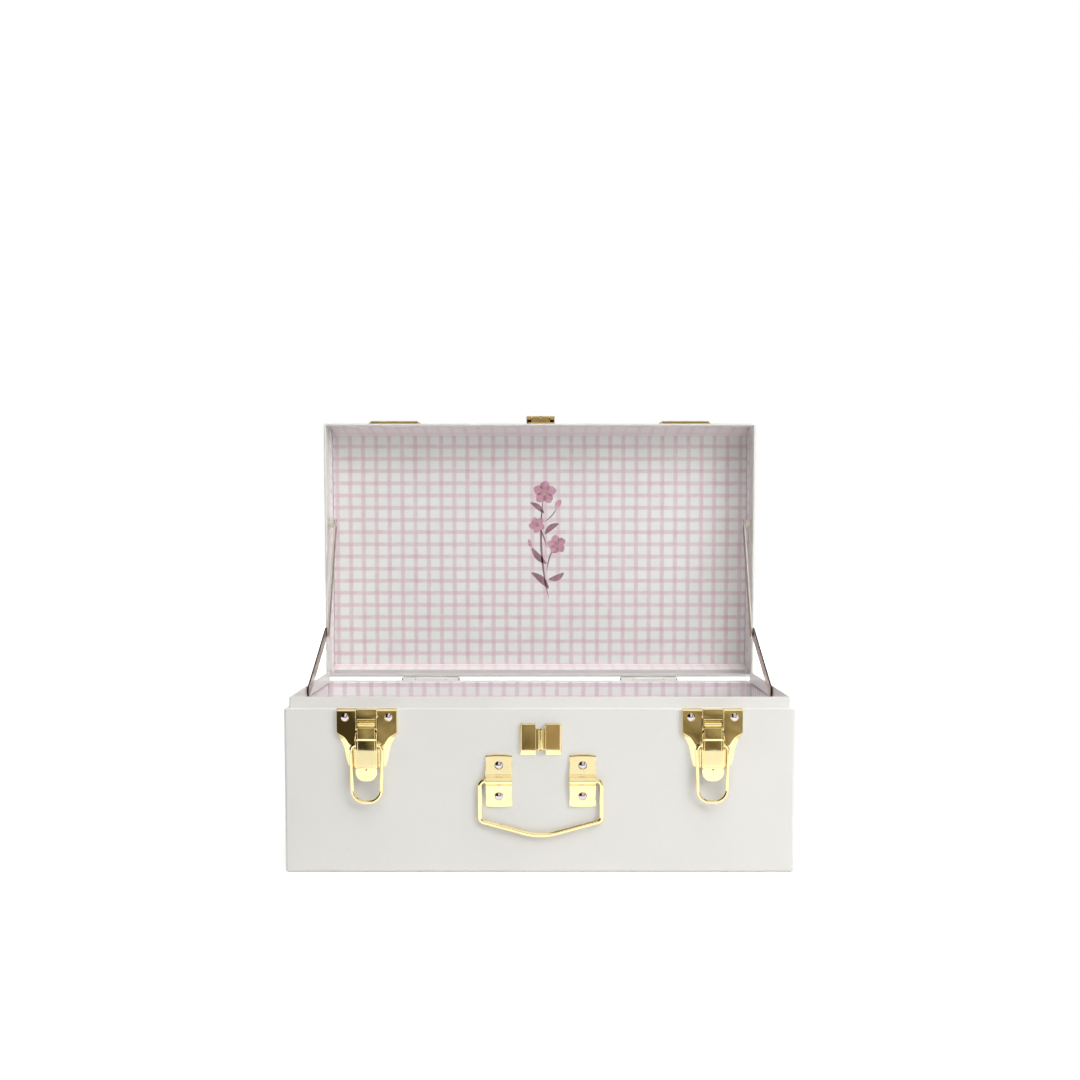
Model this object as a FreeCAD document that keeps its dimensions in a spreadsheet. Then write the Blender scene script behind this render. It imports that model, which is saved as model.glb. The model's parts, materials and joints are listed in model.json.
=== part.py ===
import FreeCAD, Part
import Sketcher
import math
import os

# A lined metal keepsake trunk with its lid standing open.
# X runs to the right, Y to the back and Z up; the origin is the middle of the base's underside.
# The lid pieces are drawn with the lid shut and then turned back about the hinge line.

SIZES = {
    "case_width": 300.0,
    "case_depth": 176.5,
    "seam_height": 97.2,
    "sheet": 0.8,
    "corner_radius": 1.9,
    "bend_radius": 1.8,
    "lip_rise": 6.7,
    "lip_inset": 2.8,
    "lip_corner": 1.5,
    "lid_depth": 30.0,
    "lid_gap": 0.5,
    "hem_depth": 5.0,
    "board": 1.4,
    "board_gap": 0.2,
    "lid_board_start": 22.5,
    "lid_board_slope": 4.4,
    "hinge_inset": 73.6,
    "hinge_width": 38.8,
    "knuckle_width": 21.0,
    "knuckle_gap": 0.3,
    "barrel_radius": 1.65,
    "barrel_clear": 0.3,
    "leaf": 0.8,
    "leaf_height": 15.0,
    "hinge_pin": 0.75,
    "fit": 0.05,
    "running_gap": 0.3,
    "centre_offset": 0.6,
    "latch_inset": 48.9,
    "latch_half": 17.9,
    "latch_drop": 0.0,
    "latch_shoulder": 14.8,
    "latch_height": 34.8,
    "latch_toe": 10.3,
    "latch_face": 2.6,
    "channel_half": 7.7,
    "channel_floor": 0.8,
    "bridge_height": 6.0,
    "bridge_out": 5.2,
    "ear_half": 7.2,
    "ear_thick": 1.4,
    "ear_length": 12.5,
    "lever_pivot": 9.0,
    "lever_out": 3.0,
    "lever_barrel": 1.6,
    "lever_half": 5.1,
    "lever_pin": 0.8,
    "lever_plate": 1.0,
    "lever_ridge": 17.5,
    "lever_knee": 23.9,
    "lever_tab": 35.0,
    "lever_tip": 42.0,
    "lever_reach": 6.6,
    "lever_swell": 0.7,
    "tab_half": 6.35,
    "cheek_half": 6.2,
    "bail_wire": 1.1,
    "bail_half": 9.2,
    "bail_foot": 8.3,
    "bail_pivot": 21.0,
    "bail_out": 4.1,
    "bail_bottom": 54.6,
    "bail_round": 7.6,
    "latch_rivet_spread": 12.65,
    "latch_rivet_drop": 4.8,
    "rivet_head": 2.5,
    "rivet_dome": 1.2,
    "rivet_shank": 1.2,
    "small_rivet_head": 2.1,
    "small_rivet_dome": 0.9,
    "keeper_height": 13.0,
    "keeper_start": 2.0,
    "keeper_plate": 0.9,
    "keeper_bead": 1.7,
    "keeper_ridge_half": 9.0,
    "keeper_ridge": 2.0,
    "handle_spread": 24.6,
    "handle_axis": 54.7,
    "plate_half": 7.8,
    "plate_half_height": 15.2,
    "plate_crown": 0.5,
    "plate_sheet": 0.9,
    "handle_wire": 1.45,
    "handle_half": 35.7,
    "handle_side_drop": 23.6,
    "handle_drop": 33.3,
    "handle_rivet_spread": 9.1,
    "staple_half": 12.2,
    "staple_top": 88.6,
    "staple_height": 18.7,
    "staple_bevel": 3.2,
    "staple_out": 3.0,
    "staple_slot_half": 2.7,
    "staple_notch": 3.1,
    "ridge_half": 1.45,
    "ridge_out": 4.2,
    "web": 1.0,
    "hasp_half": 9.8,
    "hasp_start": 1.4,
    "hasp_height": 20.0,
    "hasp_plate": 0.9,
    "hasp_pivot": 4.5,
    "hasp_out": 3.4,
    "hasp_barrel": 1.7,
    "hasp_ear": 3.0,
    "hasp_strap": 0.8,
    "hasp_reach": 24.5,
    "stay_reach": 110.0,
    "stay_elbow_length": 46.0,
    "stay_lid_inset": 13.0,
    "stay_base_rise": 3.2,
    "bar_half": 3.6,
    "bar_thick": 1.2,
    "stay_pin": 1.5,
    "stay_head": 2.3,
    "stay_dome": 0.7,
    "boss_radius": 3.2,
    "bracket_half": 6.0,
}

doc = FreeCAD.newDocument("keepsake_trunk")
finished = []


class Size:
    """A length that knows its value and the sheet expression it comes from."""

    def __init__(self, value, text):
        self.value = value
        self.text = text

    def __add__(self, other):
        other = as_size(other)
        return Size(self.value + other.value, f"({self.text} + {other.text})")

    def __sub__(self, other):
        other = as_size(other)
        return Size(self.value - other.value, f"({self.text} - {other.text})")

    def __mul__(self, other):
        other = as_size(other)
        return Size(self.value * other.value, f"({self.text} * {other.text})")

    def __truediv__(self, other):
        other = as_size(other)
        return Size(self.value / other.value, f"({self.text} / {other.text})")

    def __neg__(self):
        return Size(-self.value, f"(0 - {self.text})")

    def __radd__(self, other):
        return as_size(other) + self

    def __rsub__(self, other):
        return as_size(other) - self

    def __rmul__(self, other):
        return as_size(other) * self


def as_size(number):
    """A plain number as a size of its own."""
    if isinstance(number, Size):
        return number
    return Size(float(number), repr(float(number)))


def root(size):
    """The square root of a size's value."""
    return Size(math.sqrt(size.value), f"sqrt({size.text})")


class Sizes:
    """The driving sizes, read by name."""


def make_sheet():
    """The spreadsheet of driving sizes, and the same sizes by name."""
    sheet = doc.addObject("Spreadsheet::Sheet", "sizes")
    named = Sizes()
    for row, (name, number) in enumerate(SIZES.items(), start=1):
        sheet.set(f"A{row}", name)
        sheet.set(f"B{row}", str(number))
        sheet.setAlias(f"B{row}", name)
        setattr(named, name, Size(number, f"sizes.{name}"))
    doc.recompute()
    return named


d = make_sheet()

HALF_WIDTH = d.case_width / 2
HALF_DEPTH = d.case_depth / 2
RIM = d.seam_height + d.lid_gap
LID_TOP = RIM + d.lid_depth
HINGE_X = HALF_WIDTH - d.hinge_inset
LATCH_X = HALF_WIDTH - d.latch_inset
HINGE_Y = HALF_DEPTH + d.barrel_clear + d.barrel_radius
HINGE_Z = d.seam_height + d.lid_gap / 2
FLAT = FreeCAD.Rotation()
FACING_FRONT = FreeCAD.Rotation(FreeCAD.Vector(1, 0, 0), 90)
FACING_BACK = FreeCAD.Rotation(FreeCAD.Vector(1, 0, 0), -90)
FACING_RIGHT = FreeCAD.Rotation(FreeCAD.Vector(0, 1, 0), 90)
FACING_LEFT = FreeCAD.Rotation(FreeCAD.Vector(0, 1, 0), -90)
SIDE_ON = FreeCAD.Rotation(FreeCAD.Vector(1, 1, 1), 120)
LID_SPOT = (0, HINGE_Y - HINGE_Z, HINGE_Y + HINGE_Z)
LID_TURN = FACING_BACK
SIDES = {"left": -1, "right": 1}


def bind(thing, prop, size):
    """Tie one property to its sheet expression."""
    thing.setExpression(prop, as_size(size).text)


def place(thing, spot, turn=FLAT):
    """Set a placement whose position follows the sheet."""
    spot = [as_size(part) for part in spot]
    thing.Placement = FreeCAD.Placement(FreeCAD.Vector(*[part.value for part in spot]), turn)
    for axis, part in zip("xyz", spot):
        bind(thing, f"Placement.Base.{axis}", part)


def keep(thing, label):
    """Name a finished piece."""
    thing.Label = label
    finished.append(thing)
    return thing


def block(name, low, high):
    """A rectangular block between two corners."""
    item = doc.addObject("Part::Box", name)
    low = [as_size(part) for part in low]
    high = [as_size(part) for part in high]
    for prop, start, end in zip(("Length", "Width", "Height"), low, high):
        bind(item, prop, end - start)
    place(item, low)
    return item


def rod(name, radius, length, spot, turn):
    """A round rod that starts at a spot and runs along the turned Z axis."""
    item = doc.addObject("Part::Cylinder", name)
    bind(item, "Radius", radius)
    bind(item, "Height", length)
    place(item, spot, turn)
    return item


def join(name, pieces):
    """One solid from several that overlap."""
    item = doc.addObject("Part::MultiFuse", name)
    item.Shapes = pieces
    item.Refine = True
    return item


def carve(name, base, tools):
    """A solid with other solids cut out of it."""
    item = doc.addObject("Part::Cut", name)
    item.Base = base
    item.Tool = tools[0] if len(tools) == 1 else join(name + "_cutters", tools)
    item.Refine = True
    return item


def gather(name, pieces):
    """Separate solids kept as one group."""
    item = doc.addObject("Part::Compound", name)
    item.Links = pieces
    return item


def new_body(label, spot=(0, 0, 0), turn=FLAT):
    """An empty body at its place."""
    item = doc.addObject("PartDesign::Body", label)
    place(item, spot, turn)
    return keep(item, label)


def new_sketch(body, name, role, lift=0):
    """A sketch on one of the body's own origin planes, lifted along its normal."""
    sketch = body.newObject("Sketcher::SketchObject", name)
    plane = [feature for feature in body.Origin.OriginFeatures if feature.Role == role][0]
    sketch.AttachmentSupport = [(plane, "")]
    sketch.MapMode = "FlatFace"
    bind(sketch, "AttachmentOffset.Base.z", lift)
    return sketch


def tie(sketch, kind, *where, size):
    """A dimension of a sketch that follows the sheet."""
    number = sketch.addConstraint(Sketcher.Constraint(kind, *where, size.value))
    sketch.setExpression(f"Constraints[{number}]", size.text)


def pin_point(sketch, corner):
    """A construction point held at its two distances from the sketch's origin."""
    across, up = as_size(corner[0]), as_size(corner[1])
    point = sketch.addGeometry(Part.Point(FreeCAD.Vector(across.value, up.value, 0)), True)
    for kind, size, axis in (("DistanceX", across, -2), ("DistanceY", up, -1)):
        if size.value == 0:
            sketch.addConstraint(Sketcher.Constraint("PointOnObject", point, 1, axis))
        else:
            tie(sketch, kind, -1, 1, point, 1, size=size)
    return point


def draw_run(sketch, corners, closed):
    """Straight runs through the corners, each corner (across, up, radius) rounded by its radius."""
    count = len(corners)
    spots = [FreeCAD.Vector(as_size(c[0]).value, as_size(c[1]).value, 0) for c in corners]
    points = [pin_point(sketch, corner) for corner in corners]
    starts = list(spots)
    ends = list(spots)
    arcs = {}
    for i, corner in enumerate(corners):
        radius = as_size(corner[2] if len(corner) > 2 else 0)
        if radius.value == 0:
            continue
        back = (spots[i - 1] - spots[i]).normalize()
        ahead = (spots[(i + 1) % count] - spots[i]).normalize()
        half = back.getAngle(ahead) / 2
        reach = radius.value / math.tan(half)
        ends[i] = spots[i] + back * reach
        starts[i] = spots[i] + ahead * reach
        middle = spots[i] + (back + ahead).normalize() * (radius.value / math.sin(half))
        mid_arc = middle + (spots[i] - middle).normalize() * radius.value
        arc = sketch.addGeometry(Part.Arc(ends[i], mid_arc, starts[i]), False)
        tie(sketch, "Radius", arc, size=radius)
        turns_left = (back * -1).cross(ahead).z > 0
        arcs[i] = (arc, 1 if turns_left else 2, 2 if turns_left else 1)
    lines = []
    for i in range(count if closed else count - 1):
        j = (i + 1) % count
        lines.append(sketch.addGeometry(Part.LineSegment(starts[i], ends[j]), False))
        for k, end in ((i, 1), (j, 2)):
            if k in arcs:
                arc, enters, leaves = arcs[k]
                touch = leaves if end == 1 else enters
                sketch.addConstraint(Sketcher.Constraint("PointOnObject", points[k], 1, lines[i]))
                sketch.addConstraint(Sketcher.Constraint("Tangent", lines[i], end, arc, touch))
            else:
                sketch.addConstraint(Sketcher.Constraint("Coincident", lines[i], end, points[k], 1))
    return sketch


def draw_circle(sketch, across, up, radius):
    """A circle held at its centre and radius."""
    centre = FreeCAD.Vector(as_size(across).value, as_size(up).value, 0)
    point = pin_point(sketch, (across, up))
    circle = sketch.addGeometry(Part.Circle(centre, FreeCAD.Vector(0, 0, 1), as_size(radius).value), False)
    sketch.addConstraint(Sketcher.Constraint("Coincident", circle, 3, point, 1))
    tie(sketch, "Radius", circle, size=as_size(radius))


def outline(body, name, role, corners, lift=0):
    """A sketch that holds one closed outline."""
    return draw_run(new_sketch(body, name, role, lift), corners, True)


def rectangle(left, low, right, high, radius=0):
    """The four corners of a rectangle with one corner radius."""
    return [(left, low, radius), (right, low, radius), (right, high, radius), (left, high, radius)]


def pad(body, sketch, length, both_ways=False):
    """Add the sketch's outline as a slab."""
    feature = body.newObject("PartDesign::Pad", sketch.Name + "_pad")
    feature.Profile = sketch
    bind(feature, "Length", length)
    if both_ways:
        feature.SideType = "Symmetric"
    sketch.Visibility = False
    doc.recompute()
    return feature


def pocket(body, sketch, length, both_ways=False):
    """Cut the sketch's outline away, along its normal or both ways."""
    before = body.Shape.Volume
    feature = body.newObject("PartDesign::Pocket", sketch.Name + "_pocket")
    feature.Profile = sketch
    bind(feature, "Length", length)
    feature.Reversed = True
    if both_ways:
        feature.SideType = "Symmetric"
    doc.recompute()
    if body.Shape.Volume >= before:
        raise RuntimeError(sketch.Name + " cuts nothing")
    return feature


def loft(body, foot, face):
    """Add the solid between two outlines."""
    feature = body.newObject("PartDesign::AdditiveLoft", foot.Name + "_loft")
    feature.Profile = foot
    feature.Sections = [face]
    feature.Ruled = True
    doc.recompute()
    return feature


def round_level(body, feature, height, radius):
    """Round every edge of a feature that lies at one height."""
    names = []
    for number, edge in enumerate(feature.Shape.Edges, start=1):
        box = edge.BoundBox
        if abs(box.ZMin - height.value) < 1e-4 and abs(box.ZMax - height.value) < 1e-4:
            names.append(f"Edge{number}")
    fillet = body.newObject("PartDesign::Fillet", feature.Name + "_round")
    fillet.Base = (feature, names)
    bind(fillet, "Radius", radius)
    doc.recompute()
    return fillet


def wire_form(label, spot, turn, corners, wire):
    """A round wire bent along corners, with its ends left open."""
    path = doc.addObject("Sketcher::SketchObject", label + "_path")
    place(path, spot, turn)
    draw_run(path, corners, False)
    ring = doc.addObject("Part::Circle", label + "_section")
    bind(ring, "Radius", wire)
    first = FreeCAD.Vector(as_size(corners[0][0]).value, as_size(corners[0][1]).value, 0)
    second = FreeCAD.Vector(as_size(corners[1][0]).value, as_size(corners[1][1]).value, 0)
    along = turn.multVec(second - first)
    start = turn.multVec(first)
    ring.Placement = FreeCAD.Placement(
        path.Placement.Base + start, FreeCAD.Rotation(FreeCAD.Vector(0, 0, 1), along))
    doc.recompute()
    sweep = doc.addObject("Part::Sweep", label)
    sweep.Sections = [ring]
    sweep.Spine = (path, [f"Edge{number + 1}" for number in range(len(path.Shape.Edges))])
    sweep.Solid = True
    sweep.Frenet = False
    doc.recompute()
    return keep(sweep, label)


def rivet(name, spot, axis, way, turn, head, dome, shank, grip):
    """A domed rivet whose head sits at a spot, with its shank running back through the grip."""
    ball = (head * head + dome * dome) / (dome * 2)
    spot = [as_size(part) for part in spot]
    centre = list(spot)
    centre[axis] = spot[axis] - (ball - dome) * way
    tail = list(spot)
    tail[axis] = spot[axis] - grip * way
    cap = doc.addObject("Part::Sphere", name + "_dome")
    bind(cap, "Radius", ball)
    cap.setExpression("Angle1", f"asin({((ball - dome) / ball).text})")
    place(cap, centre, turn)
    return join(name, [cap, rod(name + "_shank", shank, grip, tail, turn)])


def front_rivet(name, across, up, out, head, dome, shank, grip):
    """A rivet on the front face, at a height and a distance out from it."""
    spot = (across, -HALF_DEPTH - out, up)
    return rivet(name, spot, 1, -1, FACING_FRONT, head, dome, shank, grip)


def make_base_shell():
    """The pressed base: a tray with a joggled lip round its front and ends."""
    body = new_body("base_shell")
    corners = rectangle(-HALF_WIDTH, -HALF_DEPTH, HALF_WIDTH, HALF_DEPTH, d.corner_radius)
    shell = pad(body, outline(body, "base_outline", "XY_Plane", corners), d.seam_height)
    round_level(body, shell, as_size(0), d.bend_radius)
    inside = rectangle(
        d.sheet - HALF_WIDTH, d.sheet - HALF_DEPTH, HALF_WIDTH - d.sheet, HALF_DEPTH - d.sheet,
        d.corner_radius - d.sheet)
    hollow = pocket(body, outline(body, "base_hollow", "XY_Plane", inside, d.sheet), d.seam_height)
    round_level(body, hollow, d.sheet, d.bend_radius - d.sheet)
    back_end = HALF_DEPTH - d.sheet * 2 - d.running_gap * 2
    lip_low = d.seam_height - d.sheet
    lip_side = HALF_WIDTH - d.lip_inset
    lip_front = HALF_DEPTH - d.lip_inset
    rings = (
        ("shoulder", HALF_WIDTH - d.sheet / 2, HALF_DEPTH - d.sheet / 2,
         d.corner_radius - d.sheet / 2, d.sheet),
        ("lip", lip_side, lip_front, d.lip_corner, d.sheet + d.lip_rise),
    )
    for name, side, front, radius, height in rings:
        ring = [
            (-side, back_end), (-side, -front, radius), (side, -front, radius), (side, back_end),
            (lip_side - d.sheet, back_end), (lip_side - d.sheet, d.sheet - lip_front, d.lip_corner - d.sheet),
            (d.sheet - lip_side, d.sheet - lip_front, d.lip_corner - d.sheet), (d.sheet - lip_side, back_end)]
        pad(body, outline(body, name, "XY_Plane", ring, lip_low), height)


def make_base_liner():
    """Fabric-covered boards: one on the floor and one on each wall of the base."""
    fold = d.bend_radius
    floor_low = d.sheet
    floor_high = d.sheet + d.board
    side = HALF_WIDTH - d.sheet
    front = HALF_DEPTH - d.sheet
    corner = (fold - side, fold - front, floor_low)
    keep(block("base_liner_floor", corner, (side - fold, front - fold, floor_high)), "base_liner_floor")
    low = floor_high + d.board_gap
    under_lip = d.seam_height - d.sheet - d.board_gap
    long_end = side - d.corner_radius
    short_end = front - d.corner_radius
    boards = {
        "base_liner_front": ((-long_end, -front, low), (long_end, d.board - front, under_lip)),
        "base_liner_back": ((-long_end, front - d.board, low), (long_end, front, d.seam_height - d.sheet)),
        "base_liner_left": ((-side, -short_end, low), (d.board - side, short_end, under_lip)),
        "base_liner_right": ((side - d.board, -short_end, low), (side, short_end, under_lip)),
    }
    for label, (corner, opposite) in boards.items():
        keep(block(label, corner, opposite), label)


def make_lid_shell():
    """The pressed lid: a shallow tray with a hem turned in round its rim."""
    body = new_body("lid_shell", LID_SPOT, LID_TURN)
    corners = rectangle(-HALF_WIDTH, -HALF_DEPTH, HALF_WIDTH, HALF_DEPTH, d.corner_radius)
    shell = pad(body, outline(body, "lid_outline", "XY_Plane", corners, RIM), d.lid_depth)
    round_level(body, shell, LID_TOP, d.bend_radius)
    inner_top = LID_TOP - d.sheet
    hem_top = RIM + d.hem_depth
    for name, wall, low, height in (
            ("lid_hollow", d.sheet, hem_top, inner_top - hem_top),
            ("lid_mouth", d.sheet * 2, RIM, d.hem_depth)):
        inside = rectangle(
            wall - HALF_WIDTH, wall - HALF_DEPTH, HALF_WIDTH - wall, HALF_DEPTH - wall,
            d.corner_radius - wall)
        hollow = pocket(body, outline(body, name, "XY_Plane", inside, low), height)
    round_level(body, hollow, inner_top, d.bend_radius - d.sheet)


def make_lid_liner():
    """Fabric-covered boards inside the lid; the two long ones lean in towards the panel."""
    fold = d.bend_radius
    side = HALF_WIDTH - d.sheet
    front = HALF_DEPTH - d.sheet
    panel_high = LID_TOP - d.sheet
    panel_low = panel_high - d.board
    low = RIM + d.lid_board_start
    high = panel_low - d.board_gap
    corner = (fold - side, fold - front, panel_low)
    panel = block("lid_liner_panel", corner, (side - fold, front - fold, panel_high))
    place_with_lid(panel, corner)
    keep(panel, "lid_liner_panel")
    short_end = front - d.board - d.lid_board_slope - d.board_gap
    for label, sign in SIDES.items():
        start = side - d.board if sign > 0 else -side
        corner = (start, -short_end, low)
        board = block("lid_liner_" + label, corner, (start + d.board, short_end, high))
        place_with_lid(board, corner)
        keep(board, "lid_liner_" + label)
    for label, sign in (("lid_liner_front", -1), ("lid_liner_back", 1)):
        body = new_body(label, LID_SPOT, LID_TURN)
        leaning = [
            (front * sign, low), ((front - d.board) * sign, low),
            ((front - d.board - d.lid_board_slope) * sign, high), (front * sign, high)]
        pad(body, outline(body, label + "_section", "YZ_Plane", leaning), (side - d.corner_radius) * 2, True)


def place_with_lid(thing, spot):
    """Turn a piece drawn at a spot on the shut lid back to where the open lid holds it."""
    across, deep, high = [as_size(part) for part in spot]
    place(thing, (across, LID_SPOT[1] + high, LID_SPOT[2] - deep), LID_TURN)


def leaf_rivet_spots(centre, way):
    """Where the three rivets of a hinge leaf sit, below the hinge line or above it."""
    height = HINGE_Z + (d.leaf_height - d.leaf * 5) * way
    return [(centre + d.hinge_width / 3 * step, height) for step in (-1, 0, 1)]


def leaf_rivet_holes(name, centre, way):
    """The cutters for a hinge leaf's rivet holes."""
    holes = []
    for number, (across, height) in enumerate(leaf_rivet_spots(centre, way)):
        holes.append(rod(f"{name}_rivet_hole_{number}", d.rivet_shank + d.fit, d.leaf * 2,
                         (across, HALF_DEPTH - d.leaf / 2, height), FACING_BACK))
    return holes


def make_hinge(side, sign):
    """A butt hinge: two leaves with interleaved knuckles on one pin."""
    centre = HINGE_X * sign
    outer = HALF_DEPTH + d.leaf
    left = centre - d.hinge_width / 2
    right = centre + d.hinge_width / 2
    inner_half = d.knuckle_width / 2
    window = d.barrel_radius + d.running_gap
    bore = d.hinge_pin + d.fit
    bore_spot = (left - d.leaf, HINGE_Y, HINGE_Z)
    bore_length = d.hinge_width + d.leaf * 2
    ends = ((left, centre - inner_half - d.knuckle_gap), (centre + inner_half + d.knuckle_gap, right))

    name = "hinge_base_leaf_" + side
    pieces = [block(name + "_plate", (left, HALF_DEPTH, HINGE_Z - d.leaf_height), (right, outer, HINGE_Z))]
    for number, (start, end) in enumerate(ends):
        pieces.append(rod(f"{name}_knuckle_{number}", d.barrel_radius, end - start,
                          (start, HINGE_Y, HINGE_Z), FACING_RIGHT))
    cutters = leaf_rivet_holes(name, centre, -1)
    cutters.append(block(name + "_window", (ends[0][1], HALF_DEPTH - d.leaf, HINGE_Z - window),
                         (ends[1][0], outer + d.leaf, HINGE_Z + window)))
    cutters.append(rod(name + "_bore", bore, bore_length, bore_spot, FACING_RIGHT))
    keep(carve(name, join(name + "_solid", pieces), cutters), name)

    name = "hinge_lid_leaf_" + side
    plate = block(name + "_plate", (left, HALF_DEPTH, HINGE_Z), (right, outer, HINGE_Z + d.leaf_height))
    knuckle = rod(name + "_knuckle", d.barrel_radius, inner_half * 2,
                  (centre - inner_half, HINGE_Y, HINGE_Z), FACING_RIGHT)
    cutters = leaf_rivet_holes(name, centre, 1)
    for number, (start, end) in enumerate(((left, centre - inner_half), (centre + inner_half, right))):
        cutters.append(block(f"{name}_window_{number}", (start, HALF_DEPTH - d.leaf, HINGE_Z - window),
                             (end, outer + d.leaf, HINGE_Z + window)))
    cutters.append(rod(name + "_bore", bore, bore_length, bore_spot, FACING_RIGHT))
    leaf = carve(name, join(name + "_solid", [plate, knuckle]), cutters)
    place(leaf, LID_SPOT, LID_TURN)
    keep(leaf, name)

    name = "hinge_pin_" + side
    head = d.leaf
    stem = rod(name + "_stem", d.hinge_pin, d.hinge_width + head * 2,
               (left - head, HINGE_Y, HINGE_Z), FACING_RIGHT)
    caps = [stem]
    for number, start in enumerate((left - head - d.fit, right + d.fit)):
        caps.append(rod(f"{name}_head_{number}", d.barrel_radius - d.running_gap, head,
                        (start, HINGE_Y, HINGE_Z), FACING_RIGHT))
    keep(join(name, caps), name)


def make_hinge_rivets():
    """Three rivets in each hinge leaf, gathered by the body that they hold."""
    for label, way in (("hinge_base_rivets", -1), ("hinge_lid_rivets", 1)):
        pieces = []
        for side, sign in SIDES.items():
            spots = leaf_rivet_spots(HINGE_X * sign, way)
            for number, (across, height) in enumerate(spots):
                spot = (across, HALF_DEPTH + d.leaf, height)
                pieces.append(rivet(f"{label}_{side}_{number}", spot, 1, 1, FACING_BACK,
                                    d.small_rivet_head, d.small_rivet_dome, d.rivet_shank, d.leaf))
        rivets = gather(label, pieces)
        if way > 0:
            place(rivets, LID_SPOT, LID_TURN)
        keep(rivets, label)


LATCH_TOP = d.seam_height - d.latch_drop


def make_latch_plate(side, sign):
    """The latch's pressed plate, with its flared toe, its bridge and the ears for the lever's pin."""
    body = new_body("latch_plate_" + side, (LATCH_X * sign, -HALF_DEPTH, 0), FACING_FRONT)
    half, toe = d.latch_half, d.latch_toe
    shoulder = LATCH_TOP - d.latch_shoulder
    bottom = LATCH_TOP - d.latch_height
    inset = d.sheet / 2
    toe_round = toe * 0.6
    waist = (half - toe) * 0.55 + toe

    def half_outline(trim, low, drop, neck):
        right = [
            (toe - trim, low, d.sheet), (neck, shoulder - drop, toe_round),
            (half - trim, shoulder, d.sheet), (half - trim, LATCH_TOP - trim, d.sheet)]
        return right + [(-across, up, radius) for across, up, radius in reversed(right)]

    foot_corners = half_outline(as_size(0), bottom, d.latch_shoulder * 0.55, waist)
    face_corners = half_outline(inset, bottom + d.latch_shoulder * 0.8, d.latch_shoulder * 0.2, waist - inset)
    foot = outline(body, f"latch_foot_{side}", "XY_Plane", foot_corners)
    face = outline(body, f"latch_face_{side}", "XY_Plane", face_corners, d.latch_face)
    loft(body, foot, face)
    bridge_low = LATCH_TOP - d.bridge_height
    channel = rectangle(-d.channel_half, bottom - d.sheet, d.channel_half, bridge_low)
    pocket(body, outline(body, f"latch_channel_{side}", "XY_Plane", channel, d.channel_floor), d.bridge_out)
    bridge = rectangle(-d.ear_half, bridge_low, d.ear_half, LATCH_TOP - inset, d.sheet / 2)
    rise = d.bridge_out - d.channel_floor
    pad(body, outline(body, f"latch_bridge_{side}", "XY_Plane", bridge, d.channel_floor), rise)
    ear_low = LATCH_TOP - d.ear_length
    for ear_side, ear_sign in SIDES.items():
        near = (d.ear_half - d.ear_thick) * ear_sign
        far = d.ear_half * ear_sign
        ear = rectangle(near, ear_low, far, bridge_low + d.sheet)
        pad(body, outline(body, f"latch_ear_{side}_{ear_side}", "XY_Plane", ear, d.channel_floor), rise)
    holes = new_sketch(body, f"latch_pin_hole_{side}", "YZ_Plane")
    draw_circle(holes, LATCH_TOP - d.lever_pivot, d.lever_out, d.lever_pin + d.fit)
    pocket(body, holes, d.latch_half * 2, True)
    seats = new_sketch(body, f"latch_rivet_holes_{side}", "XY_Plane")
    for rivet_sign in SIDES.values():
        draw_circle(seats, d.latch_rivet_spread * rivet_sign, LATCH_TOP - d.latch_rivet_drop,
                    d.rivet_shank + d.fit)
    pocket(body, seats, d.latch_face)


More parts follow.
